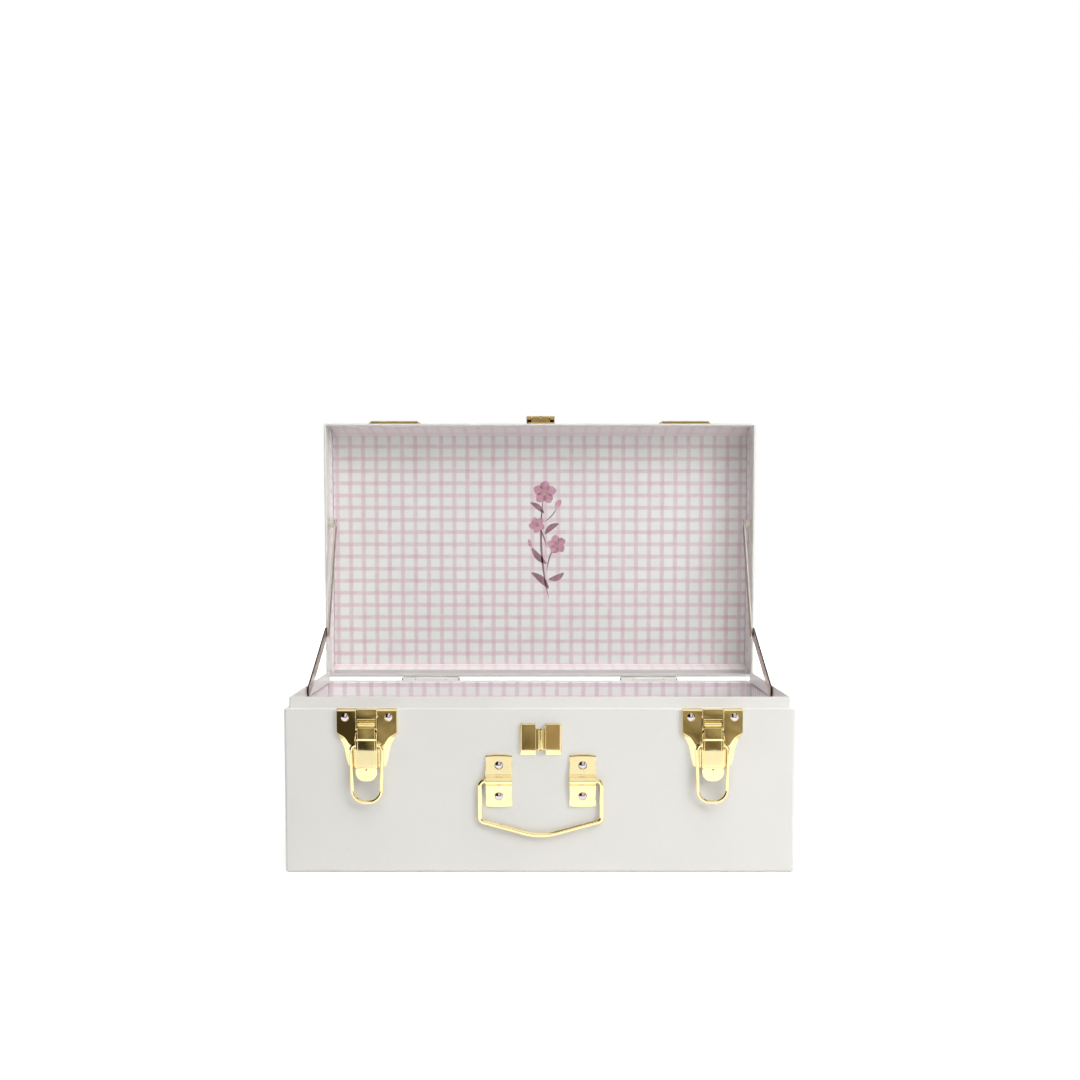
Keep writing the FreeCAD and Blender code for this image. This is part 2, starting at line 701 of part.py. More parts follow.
def make_latch_lever(side, sign):
    """The lever: a rolled barrel, a bent plate ending in a thumb tab, and two cheeks for the bail."""
    body = new_body("latch_lever_" + side, (LATCH_X * sign, -HALF_DEPTH, 0), FACING_FRONT)
    pivot = LATCH_TOP - d.lever_pivot
    ridge = LATCH_TOP - d.lever_ridge
    knee = LATCH_TOP - d.lever_knee
    tab = LATCH_TOP - d.lever_tab
    tip = LATCH_TOP - d.lever_tip
    neck = pivot - d.lever_barrel * 0.3
    head = pivot - d.lever_barrel
    skin = d.lever_out + d.lever_barrel
    swell = d.lever_reach - d.fit * 4
    step = ridge - d.lever_swell
    reach = d.lever_reach
    thick = d.lever_plate
    face = reach - d.lever_swell
    front = [(neck, skin - d.fit * 2), (head, swell), (ridge, swell + d.fit * 2), (step, face), (tab, face)]
    back = [(tab, face - thick), (step, face - thick), (head, face - thick), (neck, skin - thick)]
    pad(body, outline(body, f"lever_strip_{side}", "YZ_Plane", front + back), d.lever_half * 2, True)
    roll = new_sketch(body, f"lever_roll_{side}", "YZ_Plane")
    draw_circle(roll, pivot, d.lever_out, d.lever_barrel)
    pad(body, roll, d.lever_half * 2, True)
    thumb = [
        (-d.tab_half, tip, d.tab_half * 0.8), (d.tab_half, tip, d.tab_half * 0.8),
        (d.tab_half, tab + thick), (-d.tab_half, tab + thick)]
    pad(body, outline(body, f"lever_thumb_{side}", "XY_Plane", thumb, reach - thick), thick)
    cheek_back = d.channel_floor + d.running_gap * 2
    cheek_top = pivot - d.lever_barrel * 2.8
    cheek = [
        (cheek_top, cheek_back, d.sheet), (cheek_top, swell), (ridge, swell), (step, face), (tab, face),
        (tab, face - d.lever_barrel), (knee, cheek_back, d.sheet)]
    for cheek_side, cheek_sign in SIDES.items():
        start = d.lever_half - d.fit if cheek_sign > 0 else -d.cheek_half
        lines = outline(body, f"lever_cheek_{side}_{cheek_side}", "YZ_Plane", cheek, start)
        pad(body, lines, d.cheek_half - d.lever_half + d.fit)
    for name, up, out, radius in (
            ("pin", pivot, d.lever_out, d.lever_pin + d.fit),
            ("bail", LATCH_TOP - d.bail_pivot, d.bail_out, d.bail_wire + d.fit)):
        hole = new_sketch(body, f"lever_{name}_hole_{side}", "YZ_Plane")
        draw_circle(hole, up, out, radius)
        pocket(body, hole, d.latch_half * 2, True)
    dimple = new_sketch(body, f"lever_dimple_{side}", "XY_Plane", reach - thick / 2)
    draw_circle(dimple, 0, tab - thick, d.sheet)
    pocket(body, dimple, thick)


def make_latch_pin(side, sign):
    """The pin that the lever turns on, held in the plate's ears."""
    name = "latch_pin_" + side
    spot = (LATCH_X * sign - d.ear_half, -HALF_DEPTH - d.lever_out, LATCH_TOP - d.lever_pivot)
    keep(rod(name, d.lever_pin, d.ear_half * 2, spot, FACING_RIGHT), name)


def make_latch_bail(side, sign):
    """The wire loop that hangs from the lever's cheeks."""
    top = LATCH_TOP - d.bail_pivot
    bottom = LATCH_TOP - d.bail_bottom
    inner = d.lever_half + d.running_gap
    shoulder = d.bail_half - d.cheek_half - d.fit
    corners = [
        (-inner, top), (-d.bail_half, top, shoulder), (-d.bail_foot, bottom, d.bail_round),
        (d.bail_foot, bottom, d.bail_round), (d.bail_half, top, shoulder), (inner, top)]
    spot = (LATCH_X * sign, -HALF_DEPTH - d.bail_out, 0)
    wire_form("latch_bail_" + side, spot, FACING_FRONT, corners, d.bail_wire)


def make_latch_rivets():
    """Two domed rivets in each latch plate."""
    pieces = []
    for side, sign in SIDES.items():
        for rivet_side, rivet_sign in SIDES.items():
            across = LATCH_X * sign + d.latch_rivet_spread * rivet_sign
            pieces.append(front_rivet(
                f"latch_rivet_{side}_{rivet_side}", across, LATCH_TOP - d.latch_rivet_drop, d.latch_face,
                d.rivet_head, d.rivet_dome, d.rivet_shank, d.latch_face))
    keep(gather("latch_rivets", pieces), "latch_rivets")


LID_FRONT = (LID_SPOT[1], LID_SPOT[2] + HALF_DEPTH)


def make_keeper(side, sign):
    """The catch plate on the lid: a beaded edge at the rim and the ridge that the bail pulls on."""
    body = new_body("keeper_" + side, (LATCH_X * sign, LID_FRONT[0], LID_FRONT[1]))
    low = RIM + d.keeper_start
    high = low + d.keeper_height
    plate = rectangle(-d.latch_half, low, d.latch_half, high, d.lip_corner)
    pad(body, outline(body, f"keeper_plate_{side}", "XY_Plane", plate), d.keeper_plate)
    middle = (low + high) / 2
    step = d.keeper_plate
    bead = [(low, 0), (low, d.keeper_bead, step / 2), (low + step * 2, d.keeper_bead), (low + step * 3, 0)]
    pad(body, outline(body, f"keeper_bead_{side}", "YZ_Plane", bead), (d.latch_half - d.lip_corner) * 2, True)
    ridge = [
        (middle - step * 3, 0), (middle, d.keeper_ridge), (middle + step, d.keeper_ridge), (middle + step, 0)]
    pad(body, outline(body, f"keeper_ridge_{side}", "YZ_Plane", ridge), d.keeper_ridge_half * 2, True)
    holes = new_sketch(body, f"keeper_holes_{side}", "XY_Plane")
    for rivet_sign in SIDES.values():
        draw_circle(holes, d.latch_rivet_spread * rivet_sign, middle + step, d.rivet_shank + d.fit)
    pocket(body, holes, d.keeper_plate)


def make_keeper_rivets():
    """Two rivets in each keeper plate."""
    pieces = []
    for side, sign in SIDES.items():
        for rivet_side, rivet_sign in SIDES.items():
            across = LATCH_X * sign + d.latch_rivet_spread * rivet_sign
            pieces.append(front_rivet(
                f"keeper_rivet_{side}_{rivet_side}", across,
                RIM + d.keeper_start + d.keeper_height / 2 + d.keeper_plate, d.keeper_plate,
                d.small_rivet_head, d.small_rivet_dome, d.rivet_shank, d.keeper_plate))
    rivets = gather("keeper_rivets", pieces)
    place(rivets, LID_SPOT, LID_TURN)
    keep(rivets, "keeper_rivets")


HANDLE_OUT = d.handle_wire + d.running_gap


def make_handle_plate(side, sign):
    """A handle strap: a crowned plate pressed out into a half-round loop over the wire."""
    centre = d.centre_offset + d.handle_spread * sign
    body = new_body("handle_plate_" + side, (centre, -HALF_DEPTH, d.handle_axis), FACING_FRONT)
    half, tall = d.plate_half, d.plate_half_height
    crown = tall + d.plate_crown
    bow = d.plate_half * 4
    plate = [
        (-half, -tall, d.lip_corner), (0, -crown, bow), (half, -tall, d.lip_corner),
        (half, tall, d.lip_corner), (0, crown, bow), (-half, tall, d.lip_corner)]
    pad(body, outline(body, f"handle_strap_{side}", "XY_Plane", plate), d.plate_sheet)
    bore = d.handle_wire + d.fit
    shell = bore + d.plate_sheet
    for name, radius, add in (("loop", shell, True), ("tunnel", bore, False)):
        arch = [
            (-radius, 0), (-radius, HANDLE_OUT + radius, radius * 0.98),
            (radius, HANDLE_OUT + radius, radius * 0.98), (radius, 0)]
        lines = outline(body, f"handle_{name}_{side}", "YZ_Plane", arch)
        if add:
            pad(body, lines, half * 2, True)
        else:
            pocket(body, lines, half * 4, True)
    holes = new_sketch(body, f"handle_holes_{side}", "XY_Plane")
    for rivet_sign in SIDES.values():
        draw_circle(holes, 0, d.handle_rivet_spread * rivet_sign, d.rivet_shank + d.fit)
    pocket(body, holes, d.plate_sheet)


def make_handle_rivets():
    """Two domed rivets in each handle strap."""
    pieces = []
    for side, sign in SIDES.items():
        for level, rivet_sign in (("low", -1), ("high", 1)):
            pieces.append(front_rivet(
                f"handle_rivet_{side}_{level}", d.centre_offset + d.handle_spread * sign,
                d.handle_axis + d.handle_rivet_spread * rivet_sign, d.plate_sheet,
                d.rivet_head, d.rivet_dome, d.rivet_shank, d.plate_sheet))
    keep(gather("handle_rivets", pieces), "handle_rivets")


def make_handle_bail():
    """The wire handle, whose turned-in ends lie in the two straps."""
    inner = d.handle_spread - d.plate_half + d.sheet
    half = d.handle_half
    bend = d.handle_wire * 2
    corners = [
        (-inner, 0), (-half, 0, bend), (-half, -d.handle_side_drop, bend), (0, -d.handle_drop, half),
        (half, -d.handle_side_drop, bend), (half, 0, bend), (inner, 0)]
    spot = (d.centre_offset, -HALF_DEPTH - HANDLE_OUT, d.handle_axis)
    wire_form("handle_bail", spot, FACING_FRONT, corners, d.handle_wire)


def make_hasp_staple():
    """The staple under the hasp: two bevelled wings and a folded ridge on a low web between them."""
    body = new_body("hasp_staple", (d.centre_offset, -HALF_DEPTH, 0), FACING_FRONT)
    top = d.staple_top
    low = top - d.staple_height
    wing = [(low, 0), (low + d.staple_bevel, d.staple_out), (top, d.staple_out, d.sheet), (top, 0)]
    pad(body, outline(body, "staple_wings", "YZ_Plane", wing), d.staple_half * 2, True)
    slot = d.staple_slot_half
    for name, start, end, floor in (
            ("top_notch", top - d.staple_notch, top + d.sheet, as_size(0)),
            ("low_notch", low - d.sheet, low + d.staple_notch, as_size(0)),
            ("slot", low, top, d.web)):
        gap = rectangle(-slot, start, slot, end)
        pocket(body, outline(body, "staple_" + name, "XY_Plane", gap, floor), d.staple_out + d.sheet)
    ridge_low = low + d.staple_notch
    ridge_high = top - d.staple_notch
    ridge = [(ridge_low, 0), (ridge_low, d.ridge_out), (ridge_high, d.ridge_out), (ridge_high, 0)]
    pad(body, outline(body, "staple_ridge", "YZ_Plane", ridge), d.ridge_half * 2, True)
    crease = [
        (-d.ridge_half * 0.4, d.ridge_out), (d.ridge_half * 0.4, d.ridge_out), (0, d.ridge_out - d.web)]
    level = new_sketch(body, "staple_crease", "XZ_Plane", -ridge_high)
    draw_run(level, crease, True)
    pocket(body, level, d.staple_height)


HASP_Z = RIM + d.hasp_pivot


def make_hasp_plate():
    """The hasp's fixed plate on the lid, with an ear at each end of its pin."""
    body = new_body("hasp_plate", (d.centre_offset, LID_FRONT[0], LID_FRONT[1]))
    low = RIM + d.hasp_start
    high = low + d.hasp_height
    plate = rectangle(-d.hasp_half, low, d.hasp_half, high, d.lip_corner)
    pad(body, outline(body, "hasp_foot", "XY_Plane", plate), d.hasp_plate)
    ear_out = d.hasp_out + d.hasp_barrel + d.running_gap
    ear_high = HASP_Z + d.hasp_barrel + d.sheet
    ear_low = low + d.sheet
    ear = [(ear_low, 0), (ear_low, ear_out, d.lip_corner), (ear_high, ear_out, d.lip_corner), (ear_high, 0)]
    for name, start in (("left", -d.hasp_half), ("right", d.hasp_half - d.hasp_ear)):
        pad(body, outline(body, "hasp_ear_" + name, "YZ_Plane", ear, start), d.hasp_ear)
    hole = new_sketch(body, "hasp_pin_hole", "YZ_Plane")
    draw_circle(hole, HASP_Z, d.hasp_out, d.lever_pin + d.fit)
    pocket(body, hole, d.hasp_half * 4, True)
    seats = new_sketch(body, "hasp_rivet_holes", "XY_Plane")
    for sign in SIDES.values():
        draw_circle(seats, d.hasp_half / 2 * sign, high - d.hasp_height / 4, d.rivet_shank + d.fit)
    pocket(body, seats, d.hasp_plate)


def make_hasp_pin():
    """The pin of the hasp."""
    spot = (d.centre_offset - d.hasp_half, LID_FRONT[0] + HASP_Z, LID_FRONT[1] + d.hasp_out)
    keep(rod("hasp_pin", d.lever_pin, d.hasp_half * 2, spot, FACING_RIGHT), "hasp_pin")


def make_hasp_strap():
    """The hasp's swinging strap, stored turned back on the lid, with a forked finger curl."""
    body = new_body("hasp_strap", (d.centre_offset, LID_FRONT[0], LID_FRONT[1]))
    inner = d.hasp_half - d.hasp_ear - d.running_gap
    roll = new_sketch(body, "strap_roll", "YZ_Plane")
    draw_circle(roll, HASP_Z, d.hasp_out, d.hasp_barrel)
    pad(body, roll, inner * 2, True)
    skin = d.hasp_out - d.hasp_barrel - d.hasp_strap + d.fit * 2
    top = skin + d.hasp_strap
    end = HASP_Z + d.hasp_reach
    curl = d.hasp_strap * 2
    strip = [
        (HASP_Z, skin), (end, skin, d.sheet), (end, top + curl), (end - d.hasp_strap, top + curl),
        (end - d.hasp_strap, top), (HASP_Z, top + d.hasp_strap)]
    pad(body, outline(body, "strap_strip", "YZ_Plane", strip), inner * 2, True)
    fork_half = d.ridge_half + d.running_gap * 2
    fork = rectangle(-fork_half, end - d.hasp_strap * 2, fork_half, end + d.hasp_strap)
    pocket(body, outline(body, "strap_fork", "XY_Plane", fork, top), curl + d.sheet)
    hole = new_sketch(body, "strap_pin_hole", "YZ_Plane")
    draw_circle(hole, HASP_Z, d.hasp_out, d.lever_pin + d.fit)
    pocket(body, hole, d.hasp_half * 4, True)


def make_hasp_rivets():
    """Two flush rivets that hold the hasp's plate, under the strap."""
    pieces = []
    height = RIM + d.hasp_start + d.hasp_height * 0.75
    for side, sign in SIDES.items():
        spot = (d.centre_offset + d.hasp_half / 2 * sign, LID_FRONT[0] + height, LID_FRONT[1])
        pieces.append(rod("hasp_rivet_" + side, d.rivet_shank, d.hasp_plate, spot, FLAT))
    keep(gather("hasp_rivets", pieces), "hasp_rivets")


def stay_points():
    """The stay's three pivots seen from the side, as (Y, Z) from the hinge line, with the lid open."""
    base_rise = (d.seam_height + d.stay_base_rise - HINGE_Z)
    base = (-root(d.stay_reach * d.stay_reach - base_rise * base_rise), base_rise)
    lid_inset = d.stay_lid_inset + d.lid_gap / 2
    lid = (lid_inset, root(d.stay_reach * d.stay_reach - lid_inset * lid_inset))
    middle = (base[0] + lid[0], base[1] + lid[1])
    share = d.stay_elbow_length / root(middle[0] * middle[0] + middle[1] * middle[1])
    elbow = (middle[0] * share, middle[1] * share)
    return base, elbow, lid


STAY_BASE, STAY_ELBOW, STAY_LID = stay_points()
LOWER_OUT = HALF_WIDTH - d.lip_inset - d.sheet - d.running_gap
UPPER_OUT = LOWER_OUT - d.bar_thick - d.running_gap


def stay_spot(across, point):
    """A stay pivot in the part's own frame."""
    return (across, HINGE_Y + point[0], HINGE_Z + point[1])


def make_arm(label, sign, start, end, out):
    """A flat stay bar with round ends and a pivot hole at each."""
    run = (end[0] - start[0], end[1] - start[1])
    length = root(run[0] * run[0] + run[1] * run[1])
    slope = math.degrees(math.atan2(run[1].value, run[0].value))
    turn = FreeCAD.Rotation(FreeCAD.Vector(1, 0, 0), slope).multiply(SIDE_ON)
    across = out - d.bar_thick if sign > 0 else -out
    body = new_body(label, stay_spot(across, start), turn)
    half = d.bar_half
    tight = half * 0.98
    bar = rectangle(-half, -half, length + half, half, tight)
    pad(body, outline(body, label + "_bar", "XY_Plane", bar), d.bar_thick)
    holes = new_sketch(body, label + "_holes", "XY_Plane")
    draw_circle(holes, 0, 0, d.stay_pin + d.fit)
    draw_circle(holes, length, 0, d.stay_pin + d.fit)
    pocket(body, holes, d.bar_thick)


def make_stay(side, sign):
    """A folding stay: two bars, the stud on the base's lip, the lid bracket and the elbow rivet."""
    make_arm("stay_lower_arm_" + side, sign, STAY_BASE, STAY_ELBOW, LOWER_OUT)
    make_arm("stay_upper_arm_" + side, sign, STAY_LID, STAY_ELBOW, UPPER_OUT)
    turn = FACING_LEFT if sign > 0 else FACING_RIGHT

    name = "stay_base_stud_" + side
    grip = d.bar_thick + d.running_gap + d.fit
    seat = (LOWER_OUT - d.bar_thick - d.fit) * sign
    stud = rivet(name, stay_spot(seat, STAY_BASE), 0, -sign, turn, d.stay_head, d.stay_dome, d.stay_pin, grip)
    keep(stud, name)

    name = "stay_elbow_rivet_" + side
    seat = (UPPER_OUT - d.bar_thick) * sign
    elbow = rivet(name, stay_spot(seat, STAY_ELBOW), 0, -sign, turn, d.stay_head, d.stay_dome, d.stay_pin,
                  d.bar_thick)
    keep(elbow, name)

    name = "stay_lid_bracket_" + side
    wall = (HALF_WIDTH - d.sheet) * sign
    foot = (HALF_WIDTH - d.sheet * 2) * sign
    deep = HINGE_Y + STAY_LID[0]
    up = HINGE_Z + STAY_LID[1]
    low = (wall if sign < 0 else foot, deep - d.bracket_half, up - d.bracket_half)
    high = (foot if sign < 0 else wall, deep + d.bracket_half - d.sheet, up + d.bracket_half)
    boss_end = UPPER_OUT + d.running_gap
    boss_start = HALF_WIDTH - d.sheet * 2 + d.fit
    boss = rod(name + "_boss", d.boss_radius, boss_start - boss_end,
               stay_spot(boss_start * sign, STAY_LID), turn)
    pin_seat = (UPPER_OUT - d.bar_thick - d.fit) * sign
    pin = rivet(name + "_pin", stay_spot(pin_seat, STAY_LID), 0, -sign, turn, d.stay_head, d.stay_dome,
                d.stay_pin, d.bar_thick + d.running_gap * 2)
    keep(join(name, [block(name + "_foot", low, high), boss, pin]), name)


def check_and_write():
    """Stop on any failed object, then write every finished piece to its own file."""
    doc.recompute()
    for thing in doc.Objects:
        if "Invalid" in thing.State or "Error" in thing.State:
            raise RuntimeError(f"{thing.Name} failed: {thing.State}")
    for piece in finished:
        shape = piece.Shape
        if shape.isNull() or not shape.isValid() or not shape.Solids:
            raise RuntimeError(f"{piece.Label} is not a sound solid")
    os.makedirs("parts", exist_ok=True)
    for piece in finished:
        piece.Shape.exportStep(f"parts/{piece.Label}.step")
    print(len(finished), "pieces written")


make_base_shell()
make_base_liner()
make_lid_shell()
make_lid_liner()
for side_name, side_sign in SIDES.items():
    make_hinge(side_name, side_sign)
    make_latch_plate(side_name, side_sign)
    make_latch_lever(side_name, side_sign)
    make_latch_pin(side_name, side_sign)
    make_latch_bail(side_name, side_sign)
    make_keeper(side_name, side_sign)
    make_handle_plate(side_name, side_sign)
    make_stay(side_name, side_sign)
make_hinge_rivets()
make_latch_rivets()
make_keeper_rivets()
make_handle_rivets()
make_handle_bail()
make_hasp_staple()
make_hasp_plate()
make_hasp_pin()
make_hasp_strap()
make_hasp_rivets()
check_and_write()
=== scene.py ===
# %% [markdown]
# # An open keepsake case in painted sheet metal
# The object is a small trunk of cream sheet metal, lined with checked cloth, with brass fittings on
# its front. The CAD frame gives every size and every joint. This lesson dresses that frame: each
# piece is a surface worked out with numpy, laid where its CAD solid is, and riding on the same body.

# %% Load the frame
import json
import math

import bpy
import numpy as np
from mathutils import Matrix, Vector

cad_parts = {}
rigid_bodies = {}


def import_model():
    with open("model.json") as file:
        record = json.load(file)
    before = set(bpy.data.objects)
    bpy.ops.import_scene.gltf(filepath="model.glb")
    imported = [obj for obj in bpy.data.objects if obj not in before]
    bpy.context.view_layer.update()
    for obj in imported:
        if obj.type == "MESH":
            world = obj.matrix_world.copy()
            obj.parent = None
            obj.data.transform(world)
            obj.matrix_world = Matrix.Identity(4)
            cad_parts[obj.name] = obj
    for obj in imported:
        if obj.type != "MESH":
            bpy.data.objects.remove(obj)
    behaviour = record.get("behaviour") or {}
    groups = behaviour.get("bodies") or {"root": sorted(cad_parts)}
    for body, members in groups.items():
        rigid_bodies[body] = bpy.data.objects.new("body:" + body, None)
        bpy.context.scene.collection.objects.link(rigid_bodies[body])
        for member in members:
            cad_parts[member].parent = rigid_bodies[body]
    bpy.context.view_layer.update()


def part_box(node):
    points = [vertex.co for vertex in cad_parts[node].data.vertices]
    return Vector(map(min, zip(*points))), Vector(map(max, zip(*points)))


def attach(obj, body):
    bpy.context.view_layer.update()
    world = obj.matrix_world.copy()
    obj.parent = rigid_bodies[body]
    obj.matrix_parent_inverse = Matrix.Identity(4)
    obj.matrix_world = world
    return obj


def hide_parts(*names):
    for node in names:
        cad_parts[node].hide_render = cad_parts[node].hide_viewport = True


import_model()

# %% [markdown]
# ## From arrays to a piece
# All shapes below are worked out in millimetres, as arrays of points with faces that join them. A
# shape is a "shell": its points, its four-sided faces, and the flat caps that close its ends. One
# helper puts shells into a mesh, in metres, and says which body carries the piece. Weighted normals
# keep the wide flat faces flat in the light, while the small rounded edges still shine.

# %% Faces of a grid
def grid_faces(rows, columns, wrap_columns=True, wrap_rows=False):
    """Faces between neighbours of a grid whose points are numbered row by row."""
    row, column = np.meshgrid(
        np.arange(rows if wrap_rows else rows - 1),
        np.arange(columns if wrap_columns else columns - 1), indexing="ij")
    here = row * columns + column
    beside = row * columns + (column + 1) % columns
    up = ((row + 1) % rows - row) * columns
    return np.stack([here, beside, beside + up, here + up], axis=-1).reshape(-1, 4)


def closed_rows(points):
    """A shell from rows of points, each row a ring; the first and last rings are closed by flat caps."""
    rows, columns = points.shape[:2]
    ring = np.arange(columns)
    caps = [ring[::-1], ring + (rows - 1) * columns]
    return points.reshape(-1, 3), grid_faces(rows, columns), caps


print("three rings of four points have", len(grid_faces(3, 4)), "faces between them")


# %% A piece from shells
MM = 0.001


def add_piece(name, shells, material, body, stands_for=(), cloth=None, sharp=40):
    """Put shells into one mesh: corners of all faces in a row, then where each face starts."""
    starts = np.cumsum([0] + [len(points) for points, _, _ in shells])
    corners, sizes = [], []
    for start, (_, quads, caps) in zip(starts, shells):
        corners += [quads.ravel() + start] + [np.asarray(cap) + start for cap in caps]
        sizes += [np.full(len(quads), 4), np.array([len(cap) for cap in caps], int)]
    points = np.concatenate([shell[0] for shell in shells])
    corners, sizes = np.concatenate(corners), np.concatenate(sizes)
    mesh = bpy.data.meshes.new(name)
    mesh.vertices.add(len(points))
    mesh.vertices.foreach_set("co", (points * MM).astype(np.float32).ravel())
    mesh.loops.add(len(corners))
    mesh.loops.foreach_set("vertex_index", corners.astype(np.int32))
    mesh.polygons.add(len(sizes))
    mesh.polygons.foreach_set("loop_start", (np.cumsum(sizes) - sizes).astype(np.int32))
    mesh.update(calc_edges=True)
    mesh.validate()
    if cloth is not None:
        used = np.empty(len(mesh.loops), np.int32)
        mesh.loops.foreach_get("vertex_index", used)
        mesh.uv_layers.new(name="cloth").data.foreach_set("uv", cloth[used].astype(np.float32).ravel())
    mesh.shade_smooth()
    mesh.set_sharp_from_angle(angle=math.radians(sharp))
    mesh.materials.append(material)
    piece = bpy.data.objects.new(name, mesh)
    bpy.context.scene.collection.objects.link(piece)
    weighted = piece.modifiers.new("even_faces", "WEIGHTED_NORMAL")
    weighted.keep_sharp = True
    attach(piece, body)
    if stands_for:
        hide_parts(*stands_for)
    print(f"{name}: {len(points)} points, {len(sizes)} faces")
    return piece


print("one unit of a shell is", MM, "m")

# %% [markdown]
# ## Shapes that come back
# Sheet-metal fittings are made of few kinds of form: a flat outline with rounded edges, a wire bent
# round corners, a turned dome. Each kind is one function here, and every fitting is put together
# from them. Outlines are turned counter-clockwise first, so that faces always point outwards.

# %% Outlines
def rectangle(left, low, right, high):
    """The four corners between two opposite ones."""
    return np.array([(left, low), (right, low), (right, high), (left, high)], float)


def round_corners(corners, radii, closed=True, steps=6):
    """Replace each corner by an arc that starts radius / tan(half the corner's angle) before it."""
    corners = np.asarray(corners, float)
    radii = np.broadcast_to(np.asarray(radii, float), len(corners))
    run = []
    for index, corner in enumerate(corners):
        inner = closed or 0 < index < len(corners) - 1
        if not inner or radii[index] <= 0:
            run.append(corner[None])
            continue
        back = corners[index - 1] - corner
        ahead = corners[(index + 1) % len(corners)] - corner
        back, ahead = back / np.linalg.norm(back), ahead / np.linalg.norm(ahead)
        half = math.acos(np.clip(back @ ahead, -1, 1)) / 2
        middle = corner + (back + ahead) / np.linalg.norm(back + ahead) * radii[index] / math.sin(half)
        first = corner + back * radii[index] / math.tan(half) - middle
        last = corner + ahead * radii[index] / math.tan(half) - middle
        turn = math.pi - 2 * half
        part = np.linspace(0, 1, steps + 1)[:, None]
        swing = np.sin((1 - part) * turn) * first + np.sin(part * turn) * last
        run.append(middle + swing / math.sin(turn))
    return np.concatenate(run)


def arc(centre, radius, start, end, steps=6):
    """Points of a circle between two angles in degrees."""
    turn = np.radians(np.linspace(start, end, steps + 1))
    return np.stack([centre[0] + radius * np.cos(turn), centre[1] + radius * np.sin(turn)], 1)


def counter_clockwise(outline):
    """Turn an outline round when its signed area, half the sum of cross products, is negative."""
    outline = np.asarray(outline, float)
    after = np.roll(outline, -1, axis=0)
    area = np.sum(outline[:, 0] * after[:, 1] - outline[:, 1] * after[:, 0])
    return outline if area > 0 else outline[::-1]


def shrink(outline, amount):
    """Slide each point inward along its mitre, so that every side moves in by the amount."""
    before, after = outline - np.roll(outline, 1, axis=0), np.roll(outline, -1, axis=0) - outline
    first = np.stack([before[:, 1], -before[:, 0]], 1) / np.linalg.norm(before, axis=1)[:, None]
    second = np.stack([after[:, 1], -after[:, 0]], 1) / np.linalg.norm(after, axis=1)[:, None]
    return outline - amount * (first + second) / (1 + np.sum(first * second, axis=1))[:, None]


print("a square with round corners has", len(round_corners(rectangle(0, 0, 9, 9), 2)), "points")


# %% Slabs and pressings
def lifted(rings, heights):
    """Rings of (across, up) points, each at its own height, as one closed shell."""
    lift = np.broadcast_to(np.asarray(heights)[:, None, None], rings.shape[:2] + (1,))
    return closed_rows(np.concatenate([rings, lift], axis=2))


def slab(outline, low, high, edge=0.3, steps=3, between=0):
    """Carry an outline from low to high; at both ends it shrinks along a quarter circle, the edge."""
    outline = counter_clockwise(outline)
    turn = np.linspace(0, math.pi / 2, steps + 1)
    inset, rise = edge * (1 - np.sin(turn)), edge * (1 - np.cos(turn))
    middle = np.linspace(low + edge, high - edge, between + 2)[1:-1]
    insets = np.concatenate([inset, np.zeros(between), inset[::-1]])
    heights = np.concatenate([low + rise, middle, high - rise[::-1]])
    return lifted(np.stack([shrink(outline, amount) for amount in insets]), heights)


def slab_with_hole(outline, low, high, hole, radius, edge=0.2):
    """A slab whose rings go up the outline, across to the hole's circle and down it, and close up."""
    outline = counter_clockwise(outline)
    away = outline - hole
    circle = hole + radius * away / np.linalg.norm(away, axis=1)[:, None]
    rings = [shrink(outline, edge), outline, outline, shrink(outline, edge), circle, circle]
    heights = [low, low + edge, high - edge, high, high, low]
    points = np.stack([np.column_stack([ring, np.full(len(ring), z)]) for ring, z in zip(rings, heights)])
    return points.reshape(-1, 3), grid_faces(*points.shape[:2], wrap_rows=True), []


def pressed(foot, face, height, rim=0.3, edge=0.5, steps=4):
    """A pressed plate: an upright rim on the foot outline, then a flank that leans in to the face.
    Near the top the flank turns into the face along a quarter circle."""
    foot, face = counter_clockwise(foot), counter_clockwise(face)
    turn = np.linspace(0, math.pi / 2, steps + 1)
    share = np.concatenate([[0, 0], 1 - edge / height * (1 - np.sin(turn)) * 0.8])
    rise = np.concatenate([[0, rim], height - edge * np.cos(turn) * 0.9])
    rings = np.stack([foot + (face - foot) * part for part in share])
    rings[-1] = shrink(rings[-1], edge * 0.5)
    return lifted(rings, rise)


print("a slab on a square has", len(slab(rectangle(0, 0, 9, 9), 0, 1)[0]), "points")


# %% Wires and domes
def wire(path, flat_way, radius, sides=36):
    """A round wire: circles across the path, spanned by the plane's normal and a vector across it."""
    along = np.gradient(path, axis=0)
    along /= np.linalg.norm(along, axis=1)[:, None]
    normal = np.broadcast_to(np.asarray(flat_way, float), path.shape)
    across = np.cross(along, normal)
    turn = np.linspace(0, 2 * math.pi, sides, endpoint=False)[None, :, None]
    circle = np.cos(turn) * normal[:, None] + np.sin(turn) * across[:, None]
    return closed_rows(path[:, None] + radius * circle)


def turned(profile, sides=40):
    """Turn a profile of (radius, height) pairs round the third axis."""
    profile = np.asarray(profile, float)
    turn = np.linspace(0, 2 * math.pi, sides, endpoint=False)
    across = profile[:, :1, None] * np.stack([np.cos(turn), np.sin(turn)], axis=-1)
    return lifted(across, profile[:, 1])


def dome(radius, height):
    """A rivet's head: a short upright rim, sunk a little, then a spherical cap of the given height."""
    sunk, rim, flat_top = 0.05, 0.02, 0.03
    ball = (radius ** 2 + height ** 2) / (2 * height)
    turn = np.linspace(math.asin(min(radius / ball, 1)), flat_top, 9)
    cap = np.stack([ball * np.sin(turn), ball * np.cos(turn) - ball + height], 1)
    return turned(np.concatenate([[[radius, -sunk]], cap + [0, rim]]))


